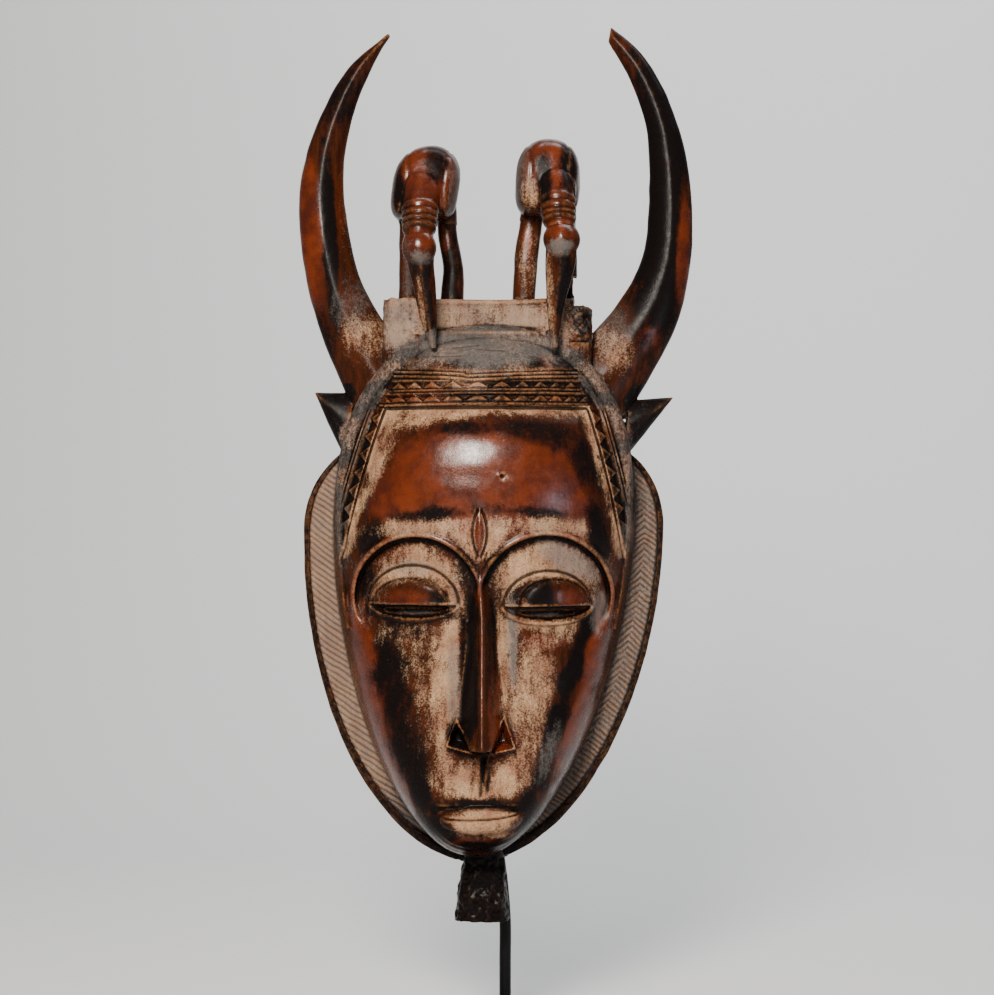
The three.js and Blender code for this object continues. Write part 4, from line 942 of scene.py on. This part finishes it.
# Every place belongs to one of these parts, told apart by where it lies.
face = (in_egg < 0.985) & (depth > plain - 10) & within(z, 38, 309)
flange = ~face & (depth < 10.5) & within(z, 33, 262)
bird = (z > 318.6) & (np.abs(x) < 56) | (depth > 40) & (z > 290) & (depth > plain + 1.5)
horn = ~face & ~flange & ~bird & (z > 262) & ((x < -50.6) | (x > 54.4))
platform = ~face & ~flange & ~bird & ~horn & (z > 262)
beard = (z < 40) & (np.abs(x) < 17) & (depth < 27)
behind = (depth < plain - 8) & (in_egg < 0.97) & (z < 300) | (turned < -0.3)
marks = {name: np.zeros(len(x)) for name in ("dust", "soot", "rub", "grey", "bare", "shine")}
PATCHES = [
    (face, "rub", [(0, 226, 54, 32, 0, 0.9), (-42, 216, 18, 15, -20, 1.0), (24, 216, 24, 10, -8, 1.0),
        (46, 212, 7, 22, 14, 0.9), (-0.6, 136, 1.6, 50, 0, 0.55), (5.5, 116, 3.5, 22, 0, 1.0),
        (9.6, 100, 6, 9, -24, 1.0), (-58, 130, 8, 44, 9, 1.0), (-46, 84, 7, 26, 22, 0.9),
        (30, 148, 16, 7, 0, 0.6), (57, 148, 7, 34, -12, 1.0), (46, 104, 7, 28, -22, 0.85),
        (-6, 48, 30, 6, 0, 0.5), (-20, 292, 16, 6, 10, 0.7), (33, 285, 14, 7, -20, 0.5),
        (-4, 267, 44, 4, 0, 0.9), (0, 274, 46, 3, 0, 0.7)]),
    # Some soot rows are painted shade, not soot: the frame's top groove at (0, 261.6), the slits under the
    # lids at (-36, 161) and (34, 160.5), and the groove over the lips at (-3, 68.6).
    (face, "soot", [(27, 250, 24, 8, -10, 0.75), (-8, 252, 26, 4, 0, 0.7), (49, 236, 7, 18, 14, 0.75),
        (-24, 210, 26, 4.5, 6, 0.8), (24, 211, 24, 4, -6, 0.75), (-55, 199, 7, 13, -24, 0.8),
        (57, 200, 6, 16, 12, 0.9), (-9, 188, 3.5, 9, 34, 0.9), (6, 188, 3.5, 9, -34, 0.9),
        (-6, 199, 1.6, 9, 0, 0.6), (1.8, 199, 1.6, 9, 0, 0.6), (-58, 176, 5, 12, -16, 0.85),
        (-9, 176, 4, 18, 12, 0.7), (9, 176, 4, 16, -10, 0.5), (14, 160, 5, 12, 0, 0.4),
        (-22, 168, 6, 5, -30, 0.8), (-55, 164, 5, 6, 30, 0.8), (28, 171, 9, 9, 0, 1.0),
        (15, 166, 5, 8, 0, 0.8), (-36, 161, 23, 5, 0, 1.0), (34, 160.5, 20, 3.5, 0, 1.0),
        (-40, 153, 18, 6, -4, 0.75), (34, 152, 16, 3, 0, 0.6), (-6.6, 136, 5, 48, 0, 1.0),
        (4.4, 144, 3.6, 42, 0, 0.6), (-12, 99, 6, 8, 24, 0.95), (-45, 126, 11, 32, 10, 0.8),
        (-37, 96, 11, 28, 16, 0.75), (51, 152, 5, 15, -20, 1.0), (43.5, 131, 6, 17, -18, 1.0),
        (36, 108, 6, 20, -17, 1.0), (30, 86, 5, 16, -16, 0.9), (-31, 74, 6, 14, 22, 0.9),
        (22, 70, 5, 8, -20, 0.8), (-23, 66, 5, 3.5, 0, 1.0), (17.5, 67, 4.5, 3, 0, 1.0),
        (-3, 68.6, 23, 2, 0, 1.0), (-22, 56, 12, 10, -30, 0.8), (1.2, 83, 2.6, 12, 6, 1.0),
        (4, 47, 26, 5, 0, 0.8), (22, 57, 6, 10, -30, 0.8), (4, 290, 30, 8, 0, 0.65),
        (42, 284, 10, 10, 0, 0.8), (-44, 276, 6, 12, -30, 0.7), (0, 261.6, 52, 2, 0, 0.7),
        (-64, 226, 9, 34, -15, 0.9), (64, 226, 9, 34, 15, 0.85)]),
    (face, "dust", [(20, 250, 30, 9, 0, 0.3), (-31, 204, 32, 6, 4, 0.9), (29, 205, 32, 6.5, -4, 0.85),
        (-1.5, 198, 16, 12, 0, 0.95), (-33, 172, 32, 30, 0, 0.95), (31, 174, 32, 30, 0, 1.0),
        (-15.5, 135, 4.5, 40, 0, 1.0), (10, 142, 4.5, 32, 2, 1.0), (-32, 116, 15, 42, 12, 0.5),
        (-20, 118, 7, 44, 4, 0.85), (-28, 148, 20, 6, 0, 0.6), (22, 120, 15, 46, -6, 0.74),
        (-2, 80, 25, 13, 0, 0.9), (-1, 60, 20, 8, 0, 1.0), (0, 285, 60, 26, 0, 0.5),
        (-30, 287, 18, 9, 25, 0.65)]),
    (face, "shine", [(-2.2, 200, 2.3, 10, 0, 0.8), (-40, 168.5, 13, 5, 0, 0.75),
        (44, 168.5, 8, 5, -10, 0.9), (6, 104, 4, 8, 0, 0.6)]),
    # At the top of the right socket, (44, 186), the grey veil is partly grey dust and partly a painted bluish
    # reflection.
    (face, "grey", [(44, 186, 20, 8, -36, 0.85), (58, 164, 6, 16, 0, 0.7), (-36, 184, 18, 5, 0, 0.6),
        (-14, 170, 5, 16, 0, 0.4), (-14.5, 128, 4, 26, 0, 0.7), (14.5, 145, 3.5, 26, 2, 0.8),
        (32, 92, 5, 16, -18, 0.5), (0, 294, 48, 14, 0, 0.7)]),
    (face, "bare", [(-37, 170.5, 18, 8, 0, 0.9), (36, 170.5, 18, 9, 0, 1.0), (-36, 160, 24, 5, 0, 0.8),
        (34, 160.5, 20, 3.5, 0, 0.7), (-1, 136, 8.5, 46, 0, 1.0), (-12, 99, 6, 9, 24, 0.7),
        (9.6, 99, 6, 9, -24, 0.8), (-3, 68.8, 22, 1.8, 0, 0.9)]),
    (horn, "rub", [(-88, 350, 9, 44, 3, 1.0), (-70, 380, 4, 40, -6, 0.5), (84, 300, 8, 12, -30, 0.7)]),
    (horn, "dust", [(-71, 350, 5, 34, 6, 0.15), (-62, 300, 16, 14, 20, 0.58), (66, 294, 13, 13, -20, 0.6)]),
    (horn, "grey", [(-66, 314, 12, 18, 8, 0.4), (64, 304, 12, 16, -30, 0.45)]),
    (horn, "soot", [(-78, 352, 4, 62, 4, 1.0), (-74, 420, 18, 26, -30, 0.7), (-84, 302, 8, 16, 20, 0.8),
        (90, 370, 24, 100, 0, 1.0)]),
    (horn, "shine", [(101, 345, 4, 34, -2, 0.85)]),
    (horn, "bare", [(92, 340, 14, 40, 0, 1.0)]),
    (platform, "dust", [(0, 306, 60, 20, 0, 0.8), (-42, 306, 12, 16, 0, 0.85)]),
    (platform, "grey", [(0, 306, 60, 20, 0, 0.55), (-42, 306, 12, 16, 0, 0.8)]),
    (platform, "soot", [(50, 310, 8, 14, 0, 1.0), (6, 302, 24, 3, 0, 0.6)]),
    (platform, "rub", [(20, 309, 16, 6, 0, 0.8)]),
    (bird, "rub", [(-30, 378, 18, 22, 0, 0.75), (-34, 376, 6, 18, 0, 1.0), (34, 381, 16, 20, 0, 0.7),
        (36, 381, 4.5, 17, 0, 1.0), (-32, 345, 9, 6, 0, 1.0), (38.5, 350, 9, 5, 0, 1.0),
        (22, 345, 3, 12, 0, 0.9)]),
    (bird, "soot", [(-24, 386, 7, 14, 0, 0.8), (-42, 372, 4, 18, 0, 0.8), (30, 376, 4, 14, 0, 0.9),
        (42, 384, 5, 16, 0, 0.9), (-31, 330, 8, 8, 0, 0.7), (40, 322, 4, 26, 0, 0.9),
        (-27, 314, 3, 24, 8, 0.8), (-17, 334, 7, 24, 0, 0.9), (-38, 362, 5, 8, 0, 0.6)]),
    (bird, "grey", [(-14, 370, 5, 16, 0, 0.45), (19, 380, 4, 18, 0, 0.45), (-31, 336, 6, 4, 0, 0.6),
        (38, 341, 7, 4, 0, 0.8), (-38.5, 335, 4, 26, 0, 0.35)]),
    (bird, "dust", [(24, 370, 6, 9, 0, 0.6), (32.5, 320, 2.4, 26, 2, 0.6), (-31, 318, 2.2, 20, 8, 0.6),
        (22, 334, 7, 22, 0, 0.5)]),
    (bird, "shine", [(-19, 347, 3, 6, 0, 0.7)]),
]
PATCH_EDGE = [0.35, 1.5]


def mark(name, share):
    marks[name] = np.maximum(marks[name], share)


wander = lumps(x, depth, z, [(11, 0.35), (3.2, 0.45)])
for where, name, rows in PATCHES:
    for middle_x, middle_z, half_x, half_z, tilt, share in rows:
        cos, sin = np.cos(np.radians(tilt)), np.sin(np.radians(tilt))
        over_x, over_z = x - middle_x, z - middle_z
        far = np.hypot((over_x * cos + over_z * sin) / half_x, (over_z * cos - over_x * sin) / half_z)
        mark(name, where * ahead * share * (1 - fade(far + wander, *PATCH_EDGE)))
# Dust lies thick along the frame's edge, and the rubbed and sooty places are faint there. Two numbers
# for a kind are its share, and how far that share swings with the wander of the edges.
BORDER = {"foot": 188, "wide": 7, "wider": 9, "wider_x": [10, -45], "wider_z": [205, 240], "wander": 9,
          "ends": [0.3, 1.1], "dust": [0.92, 0.9], "soot": [0.4, -1.2], "inner": 0.6, "faint": 0.45}
edge_dust = BORDER["wide"] + BORDER["wider"] * fade(x, *BORDER["wider_x"]) * fade(z, *BORDER["wider_z"])
border = face & (inset > -1) & (z > BORDER["foot"])
low, high = BORDER["ends"]
by_frame = 1 - fade(inset + BORDER["wander"] * wander, edge_dust * low, edge_dust * high)
for name in ("dust", "soot"):
    share, swing = BORDER[name]
    mark(name, border * by_frame * (share + swing * wander))

# The brow rims are rubbed along the top. Along the inner edge, under the rim, soot is laid as painted
# shade, and the dust there is cleared.
BROW_RIM = {"from": [160, 176], "rub": [[1, 1.1, 1.6]], "soot": [[0.7, -1.4, 1.6]],
            "bare": [[0.6, -1.4, 1.5], [0.4, 1.1, 1.2]]}
for eye in SOCKETS:
    gap = oval_gap(x, z, eye["x"], eye["z"], eye["half_x"], eye["half_z"])
    brow = face * ahead * fade(z, *BROW_RIM["from"])
    for name in ("rub", "soot", "bare"):
        mark(name, brow * sum(line_of(gap, line) for line in BROW_RIM[name]))

# Dust sticks badly to soot and lies in thicker and thinner clouds, and the crown is smoked dark.
MOTTLE = {"size": [9, 9, 6], "fade": [0.25, 0.7], "over_soot": [0.6, 1], "lost": 0.5, "dust": [0.78, 0.3],
          "crown": [0.85, -0.5]}
marks["dust"] *= 1 - MOTTLE["lost"] * fade(marks["soot"], *MOTTLE["over_soot"])
mottle = fade(grain(x, depth, z, MOTTLE["size"]), *MOTTLE["fade"])
share, swing = MOTTLE["dust"]
marks["dust"] *= share + swing * mottle
share, swing = MOTTLE["crown"]
mark("soot", face * (z > 262) * (share + swing * mottle))
for name in ("dust", "grey"):
    marks[name] *= 1 - marks["bare"]
for name in ("rub", "soot"):
    marks[name] *= np.where(border & (inset < edge_dust * BORDER["inner"]), BORDER["faint"], 1)
for name in ("dust", "grey", "soot"):
    marks[name] *= 1 - marks["shine"]
mark("rub", marks["shine"])

# The flange is dusty between its strokes, paler on the left, with a sooty rim and foot.
FLANGE_MARKS = {"dust": [1.1, 0.5], "dust_from": [42, 90], "grey": [0.8, 0.7], "rim": [2.4, 4.2],
                "soot": [0, 0.5], "rim_soot": [0.8, 0.4], "foot_soot": 0.9, "foot": [45, 85]}
side = (x >= 0).astype(int)
dust, grey, soot, rim_soot = (np.take(FLANGE_MARKS[name], side)
                              for name in ("dust", "grey", "soot", "rim_soot"))
rim = 1 - fade((1 - egg_share(FLANGE, x, z)) * FLANGE["half"], *FLANGE_MARKS["rim"])
hatched = flange * ahead * (1 - rim)
mark("dust", hatched * dust * fade(z, *FLANGE_MARKS["dust_from"]))
mark("grey", hatched * grey)
mark("soot", flange * (soot + rim_soot * rim))
mark("soot", flange * (1 - fade(z, *FLANGE_MARKS["foot"])) * FLANGE_MARKS["foot_soot"])

# The roll, the ears, the beard and the back each have one even coat.
ROLL_MARKS = {"from": [150, 205], "grey": [0.45, 0], "dust": [0.3, 0.3], "soot": [0.85, -0.3]}
COATED = {"ears": {"soot": 0.95, "grey": 0.15, "dust": 0.1}, "beard": {"soot": 0.9, "dust": 0.1},
          "back": {"soot": 0.45, "dust": 0.25, "swing": 0.3}}
roll = within(in_egg, 0.86, 1.03) & (depth > plain) & (depth > 12) & ~bird & ~platform & ~horn
roll = roll * fade(z, *ROLL_MARKS["from"])
for name in ("grey", "dust", "soot"):
    share, swing = ROLL_MARKS[name]
    mark(name, roll * (share + swing * mottle))
ears = (np.abs(x) > 64) & within(z, 236, 276) & within(depth, 5, 21) & (in_egg > 1.02)
mark("soot", ears * COATED["ears"]["soot"])
for name in ("grey", "dust"):
    marks[name] = np.where(ears, COATED["ears"][name], marks[name])
for name in ("soot", "dust"):
    mark(name, beard * COATED["beard"][name])
thin_dust = COATED["back"]["dust"] + COATED["back"]["swing"] * wander
marks["dust"] = np.where(behind, thin_dust, marks["dust"])
marks["soot"] = np.where(behind, COATED["back"]["soot"], marks["soot"])

# Crests are worn to bare wood, broad hollows take a little dust and the soot tone where little dust lies,
# and fine cuts are darkened near black, partly with grime and partly as painted shade, by how far each
# place stands out.
CREST = {"from": 0.035, "span": 0.13, "beard": 0.1, "ridge": 0.2, "ridge_half": 3, "ridge_top": 186,
         "dust": 0.45}
SUNK = {"full": 0.7, "dust": 0.1, "soot": 0.35, "sooty": 0.3}
GRIME_AND_SHADE = {"full": 0.16, "power": 1.1, "flange": 0.6}
crest = np.clip((-fine_hollow - CREST["from"]) / CREST["span"], 0, 1) * np.where(beard, CREST["beard"], 1)
sunk = np.clip(broad_hollow / SUNK["full"], 0, 1)
on_ridge = face & (np.abs(x - NOSE["x"]) < CREST["ridge_half"]) & within(z, NOSE["foot"], CREST["ridge_top"])
dark_in_cuts = np.clip(fine_hollow / GRIME_AND_SHADE["full"], 0, 1) ** GRIME_AND_SHADE["power"]
shares = {
    "dust": marks["dust"] * (1 + CREST["dust"] * crest) + SUNK["dust"] * sunk - SUNK["sooty"] * marks["soot"],
    "soot": marks["soot"] + SUNK["soot"] * sunk * (1 - marks["dust"]),
    "rub": marks["rub"], "grey": marks["grey"],
    "worn": crest * (1 - marks["shine"]) * np.where(on_ridge, CREST["ridge"], 1),
    "grime_and_shade": dark_in_cuts * np.where(hatched > 0, GRIME_AND_SHADE["flange"], 1),
}
for name, share in shares.items():
    layer = mask.data.attributes.new(name, "FLOAT", "POINT")
    layer.data.foreach_set("value", np.clip(share, -0.3, 1.4).astype(np.float32))


def linear(hex_colour):
    parts = [int(hex_colour[k:k + 2], 16) / 255 for k in (1, 3, 5)]
    return [c / 12.92 if c <= 0.04045 else ((c + 0.055) / 1.055) ** 2.4 for c in parts] + [1]


def add(tree, kind, settings, links):
    node = tree.nodes.new(kind)
    for name, value in settings.items():
        if isinstance(name, int) or name in node.inputs:
            node.inputs[name].default_value = value
        else:
            setattr(node, name, value)
    for name, source in links.items():
        tree.links.new(source, node.inputs[name])
    return node.outputs


# Dense brown hardwood, oiled by hand and smoked over a hearth. Where it is rubbed it is a deep orange
# brown with a tight wet shine. Soot takes the shine away, and dust lies over both, matt and pale.
WOOD = {"dark": "#1f0f09", "light": "#3a1a0c", "rubbed": "#371207", "polished": "#58220a",
        "soot": "#0e0a0a", "pale dust": "#b39171", "brown dust": "#926a54", "caked dust": "#4c3324",
        "grey dust and painted reflection": "#69635f", "worn": "#94643e", "grime_and_shade": "#0b0706"}
wood = bpy.data.materials.new("Oiled and dusted hardwood")
wood.use_nodes = True
wood_nodes = wood.node_tree
wood_nodes.nodes.clear()
share_of = {name: add(wood_nodes, "ShaderNodeAttribute", {"attribute_name": name}, {})["Fac"]
            for name in shares}
place = add(wood_nodes, "ShaderNodeTexCoord", {}, {})["Object"]
# The grain of the block runs upright, so its noise is stretched along z. Each row gives the lumps in a
# metre, detail, roughness and the two values to stretch between: streaks are 2.4 mm wide, blotches 13,
# specks 0.8, drawn coarser than the real dust so that they show, and crumbs 2.3.
upright = add(wood_nodes, "ShaderNodeMapping", {"Scale": (1, 1, 0.14)}, {"Vector": place})["Vector"]
NOISES = {
    "streak": (upright, 420, 4, 0.6, 0.3, 0.72), "blotch": (place, 75, 3, 0.6, 0.3, 0.7),
    "speck": (place, 1250, 2, 0.7, 0.34, 0.66), "crumb": (place, 430, 4, 0.75, 0.36, 0.64),
}
noise = {}
for name, (vector, scale, detail, roughness, low, high) in NOISES.items():
    value = add(wood_nodes, "ShaderNodeTexNoise", {"Scale": scale, "Detail": detail, "Roughness": roughness},
                {"Vector": vector})["Fac"]
    noise[name] = add(wood_nodes, "ShaderNodeMapRange", {"interpolation_type": "SMOOTHSTEP", "From Min": low,
                                                         "From Max": high}, {"Value": value})["Result"]
specks = add(wood_nodes, "ShaderNodeMath", {"operation": "MULTIPLY", 1: 0.42}, {0: noise["speck"]})[0]
brushed = add(wood_nodes, "ShaderNodeMath", {"operation": "MULTIPLY_ADD", 1: 0.32},
              {0: noise["streak"], 2: specks})[0]
grit = add(wood_nodes, "ShaderNodeMath", {"operation": "MULTIPLY_ADD", 1: 0.32},
           {0: noise["crumb"], 2: brushed})[0]
uneven = add(wood_nodes, "ShaderNodeMath", {"operation": "MULTIPLY_ADD", 1: 0.5},
             {0: noise["blotch"], 2: grit})[0]

# Each coat is strongest where its share is high and the noise low, so its edges break up into specks.
COATS = {"rub": (uneven, -0.45, -0.2, 0.5), "soot": (uneven, -0.45, -0.15, 0.5),
         "dust": (grit, -0.78, -0.18, 0.46), "grey": (grit, -0.5, -0.1, 0.6)}
coat = {}
for name, (against, weight, low, high) in COATS.items():
    level = add(wood_nodes, "ShaderNodeMath", {"operation": "MULTIPLY_ADD", 1: weight},
                {0: against, 2: share_of[name]})[0]
    coat[name] = add(wood_nodes, "ShaderNodeMapRange", {"interpolation_type": "SMOOTHSTEP", "From Min": low,
                                                        "From Max": high}, {"Value": level})["Result"]
thick = add(wood_nodes, "ShaderNodeMapRange", {"From Max": 0.85, "To Min": 0.3},
            {"Value": share_of["dust"]})["Result"]
dust = add(wood_nodes, "ShaderNodeMath", {"operation": "MULTIPLY"}, {0: coat["dust"], 1: thick})[0]
sheen = add(wood_nodes, "ShaderNodeMath", {"operation": "MULTIPLY"}, {0: coat["rub"], 1: noise["blotch"]})[0]
# The grey veil is grey dust, and at the top of the right socket it is also a painted reflection.
veil = add(wood_nodes, "ShaderNodeMath", {"operation": "MULTIPLY", 1: 0.6}, {0: coat["grey"]})[0]
worn = add(wood_nodes, "ShaderNodeMath", {"operation": "MULTIPLY"},
           {0: share_of["worn"], 1: noise["crumb"]})[0]
worn = add(wood_nodes, "ShaderNodeMath", {"operation": "MULTIPLY", 1: 0.5}, {0: worn})[0]
# The near-black tone in fine cuts is grime together with painted shade.
grime_and_shade = add(wood_nodes, "ShaderNodeMath", {"operation": "MULTIPLY", 1: 0.88}, {0: share_of["grime_and_shade"]})[0]
tan = add(wood_nodes, "ShaderNodeMix", {"data_type": "RGBA", 6: linear(WOOD["pale dust"]),
                                        7: linear(WOOD["brown dust"])}, {0: noise["blotch"]})[2]
tan = add(wood_nodes, "ShaderNodeMix", {"data_type": "RGBA", 7: linear(WOOD["caked dust"])},
          {0: brushed, 6: tan})[2]
colour = add(wood_nodes, "ShaderNodeMix", {"data_type": "RGBA", 6: linear(WOOD["dark"]),
                                           7: linear(WOOD["light"])}, {0: noise["streak"]})[2]
for tone, share in [("rubbed", coat["rub"]), ("polished", sheen), ("soot", coat["soot"]), ("tan", dust),
                    ("grey dust and painted reflection", veil), ("worn", worn), ("grime_and_shade", grime_and_shade)]:
    plain_tone = {7: linear(WOOD[tone])} if tone in WOOD else {}
    mixed_tone = {} if tone in WOOD else {7: tan}
    colour = add(wood_nodes, "ShaderNodeMix", {"data_type": "RGBA", **plain_tone},
                 {0: share, 6: colour, **mixed_tone})[2]

# Oiled wood shines at a roughness of 0.2 and dusty wood at 0.8, and the grit stands up to half a
# millimetre high in the dust.
matt = add(wood_nodes, "ShaderNodeMath", {"operation": "MAXIMUM"}, {0: dust, 1: coat["grey"]})[0]
matt = add(wood_nodes, "ShaderNodeMath", {"operation": "MULTIPLY_ADD", 1: 0.06},
           {0: coat["soot"], 2: matt})[0]
gloss = add(wood_nodes, "ShaderNodeMapRange", {"To Min": 0.2, "To Max": 0.8}, {"Value": matt})["Result"]
gloss = add(wood_nodes, "ShaderNodeMath", {"operation": "MULTIPLY_ADD", 1: 0.1},
            {0: noise["crumb"], 2: gloss})[0]
deep = add(wood_nodes, "ShaderNodeMath", {"operation": "MULTIPLY_ADD", 1: 0.9, 2: 0.08}, {0: matt})[0]
height = add(wood_nodes, "ShaderNodeMath", {"operation": "MULTIPLY"}, {0: grit, 1: deep})[0]
dent = add(wood_nodes, "ShaderNodeBump", {"Strength": 0.6, "Distance": 0.6 * MM},
           {"Height": height})["Normal"]
clean = add(wood_nodes, "ShaderNodeMath", {"operation": "SUBTRACT"}, {0: coat["rub"], 1: coat["soot"]})[0]
wax = add(wood_nodes, "ShaderNodeMapRange", {"To Min": 0.05, "To Max": 0.38}, {"Value": clean})["Result"]
surface = add(wood_nodes, "ShaderNodeBsdfPrincipled", {"IOR": 1.5},
              {"Base Color": colour, "Roughness": gloss, "Normal": dent, "Specular IOR Level": wax})["BSDF"]
add(wood_nodes, "ShaderNodeOutputMaterial", {}, {"Surface": surface})
mask.data.materials.clear()
mask.data.materials.append(wood)
mask.data.polygons.foreach_set("material_index", np.zeros(len(mask.data.polygons), int))

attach(mask, "root")
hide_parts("mask")

# The mask hangs on a bent steel rod, painted black, that stands in a plate. The rod runs up behind the
# chin into the hollow, and a short bar across its top carries the wood inside the crown.
ROD = {"half": 3, "around": 32, "stations": 160,
       "route": [[10.9, -4, -57.7], [10.9, -4, -20], [10.9, -4, 0], [9.6, -4, 18], [6.8, -4, 40],
                 [4.6, -4, 58], [2.6, 4, 80], [1.2, 14, 104], [1, 17, 140], [1, 17, 200], [1, 17, 284.8]]}
BAR = {"x": 1, "depth": 17, "z": 286.8, "ends": [[14, 0.6], [13.4, 0], [-13.4, 0], [-14, 0.6]]}
path = through(ROD["route"], ROD["stations"])[::-1]
rings = []
for k, centre in enumerate(path):
    run = path[min(k + 1, len(path) - 1)] - path[max(k - 1, 0)]
    across = np.array([0, -run[2], run[1]]) / np.linalg.norm(run)
    rings.append(oval(centre, [ROD["half"], 0, 0], across * ROD["half"], ROD["around"]))
rod = loft("stand_rod_painted", rings)
bar = loft("stand_bar_painted", [
    oval([BAR["x"] + across, BAR["depth"], BAR["z"]], [0, ROD["half"] - inward, 0],
         [0, 0, ROD["half"] - inward], ROD["around"]) for across, inward in BAR["ends"]])

# Satin black paint on steel gives back a soft broad shine and shows no metal. It dries with a faint
# orange peel about a millimetre wide.
paint = bpy.data.materials.new("Satin black paint on steel")
paint.use_nodes = True
paint_nodes = paint.node_tree
paint_nodes.nodes.clear()
peel = add(paint_nodes, "ShaderNodeTexNoise", {"Scale": 900, "Detail": 2, "Roughness": 0.5},
           {"Vector": add(paint_nodes, "ShaderNodeTexCoord", {}, {})["Object"]})["Fac"]
satin = add(paint_nodes, "ShaderNodeMapRange", {"To Min": 0.36, "To Max": 0.5}, {"Value": peel})["Result"]
ripple = add(paint_nodes, "ShaderNodeBump", {"Strength": 0.15, "Distance": 0.2 * MM},
             {"Height": peel})["Normal"]
painted = add(paint_nodes, "ShaderNodeBsdfPrincipled", {"Base Color": linear("#040405"), "IOR": 1.33,
                                                       "Specular IOR Level": 0.3},
              {"Roughness": satin, "Normal": ripple})["BSDF"]
add(paint_nodes, "ShaderNodeOutputMaterial", {}, {"Surface": painted})
for thing in (rod, bar):
    thing.data.materials.append(paint)
    thing.data.polygons.foreach_set("use_smooth", np.ones(len(thing.data.polygons), bool))
    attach(thing, "root")
    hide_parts("stand_rod")
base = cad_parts["stand_base"]
for holder in base.material_slots:
    holder.material = paint

# The camera stands 1.2 m in front, a little above the brows. A soft window lights the mask from above
# and in front, a faint one fills its right side, and a third washes the wall. A lamp has its watts, its
# width and place in metres, its turn in degrees and its colour.
CAMERA = {"place": (6.7, -1220, 280.4), "lens": 87.9, "sensor": 36}
LAMPS = [
    ("window", 31, 0.3, (-0.18, -1.05, 0.74), (67, 0, -10), "#fff6ea"),
    ("door", 1.6, 0.25, (0.85, -0.75, 0.12), (97, 0, 50), "#e2ecff"),
    ("wall wash", 28, 1.2, (0.4, 0.35, 1.5), (52, 0, 4), "#ffffff"),
]
ROOM = {"colour": "#eef0f1", "strength": 0.16}
camera_data = bpy.data.cameras.new("camera")
camera_data.lens = CAMERA["lens"]
camera_data.sensor_width = CAMERA["sensor"]
camera = bpy.data.objects.new("camera", camera_data)
camera.location = [value * MM for value in CAMERA["place"]]
camera.rotation_euler = (np.pi / 2, 0, 0)
bpy.context.scene.collection.objects.link(camera)
bpy.context.scene.camera = camera

for name, energy, size, where, turn, tone in LAMPS:
    lamp_data = bpy.data.lights.new(name, "AREA")
    lamp_data.energy = energy
    lamp_data.size = size
    lamp_data.color = linear(tone)[:3]
    lamp = bpy.data.objects.new(name, lamp_data)
    lamp.location = where
    lamp.rotation_euler = np.radians(turn)
    bpy.context.scene.collection.objects.link(lamp)
world = bpy.data.worlds.new("room")
world.use_nodes = True
world.node_tree.nodes["Background"].inputs["Color"].default_value = linear(ROOM["colour"])
world.node_tree.nodes["Background"].inputs["Strength"].default_value = ROOM["strength"]
bpy.context.scene.world = world

# A pale floor sweeps up into a plain wall a step behind the mask.
SWEEP = {"half": 4.0, "front": -3.0, "back": 1.5, "curve": 0.8, "top": 3.5, "steps": 25}
bend = np.linspace(0, np.pi / 2, SWEEP["steps"])
run = [[SWEEP["front"], 0.0]]
run += [[SWEEP["back"] - SWEEP["curve"] * (1 - np.sin(t)), SWEEP["curve"] * (1 - np.cos(t))] for t in bend]
run += [[SWEEP["back"], SWEEP["top"]]]
corners = [[side * SWEEP["half"], y, z] for y, z in run for side in (-1, 1)]
sheet = bpy.data.meshes.new("sweep")
sheet.from_pydata(corners, [], [[2 * k, 2 * k + 1, 2 * k + 3, 2 * k + 2] for k in range(len(run) - 1)])
sheet.polygons.foreach_set("use_smooth", np.ones(len(sheet.polygons), bool))
paper = bpy.data.materials.new("Pale matt paper")
paper.use_nodes = True
paper.node_tree.nodes["Principled BSDF"].inputs["Base Color"].default_value = linear("#d3d5d6")
paper.node_tree.nodes["Principled BSDF"].inputs["Roughness"].default_value = 0.9
sheet.materials.append(paper)
sweep = bpy.data.objects.new("sweep", sheet)
bpy.context.scene.collection.objects.link(sweep)
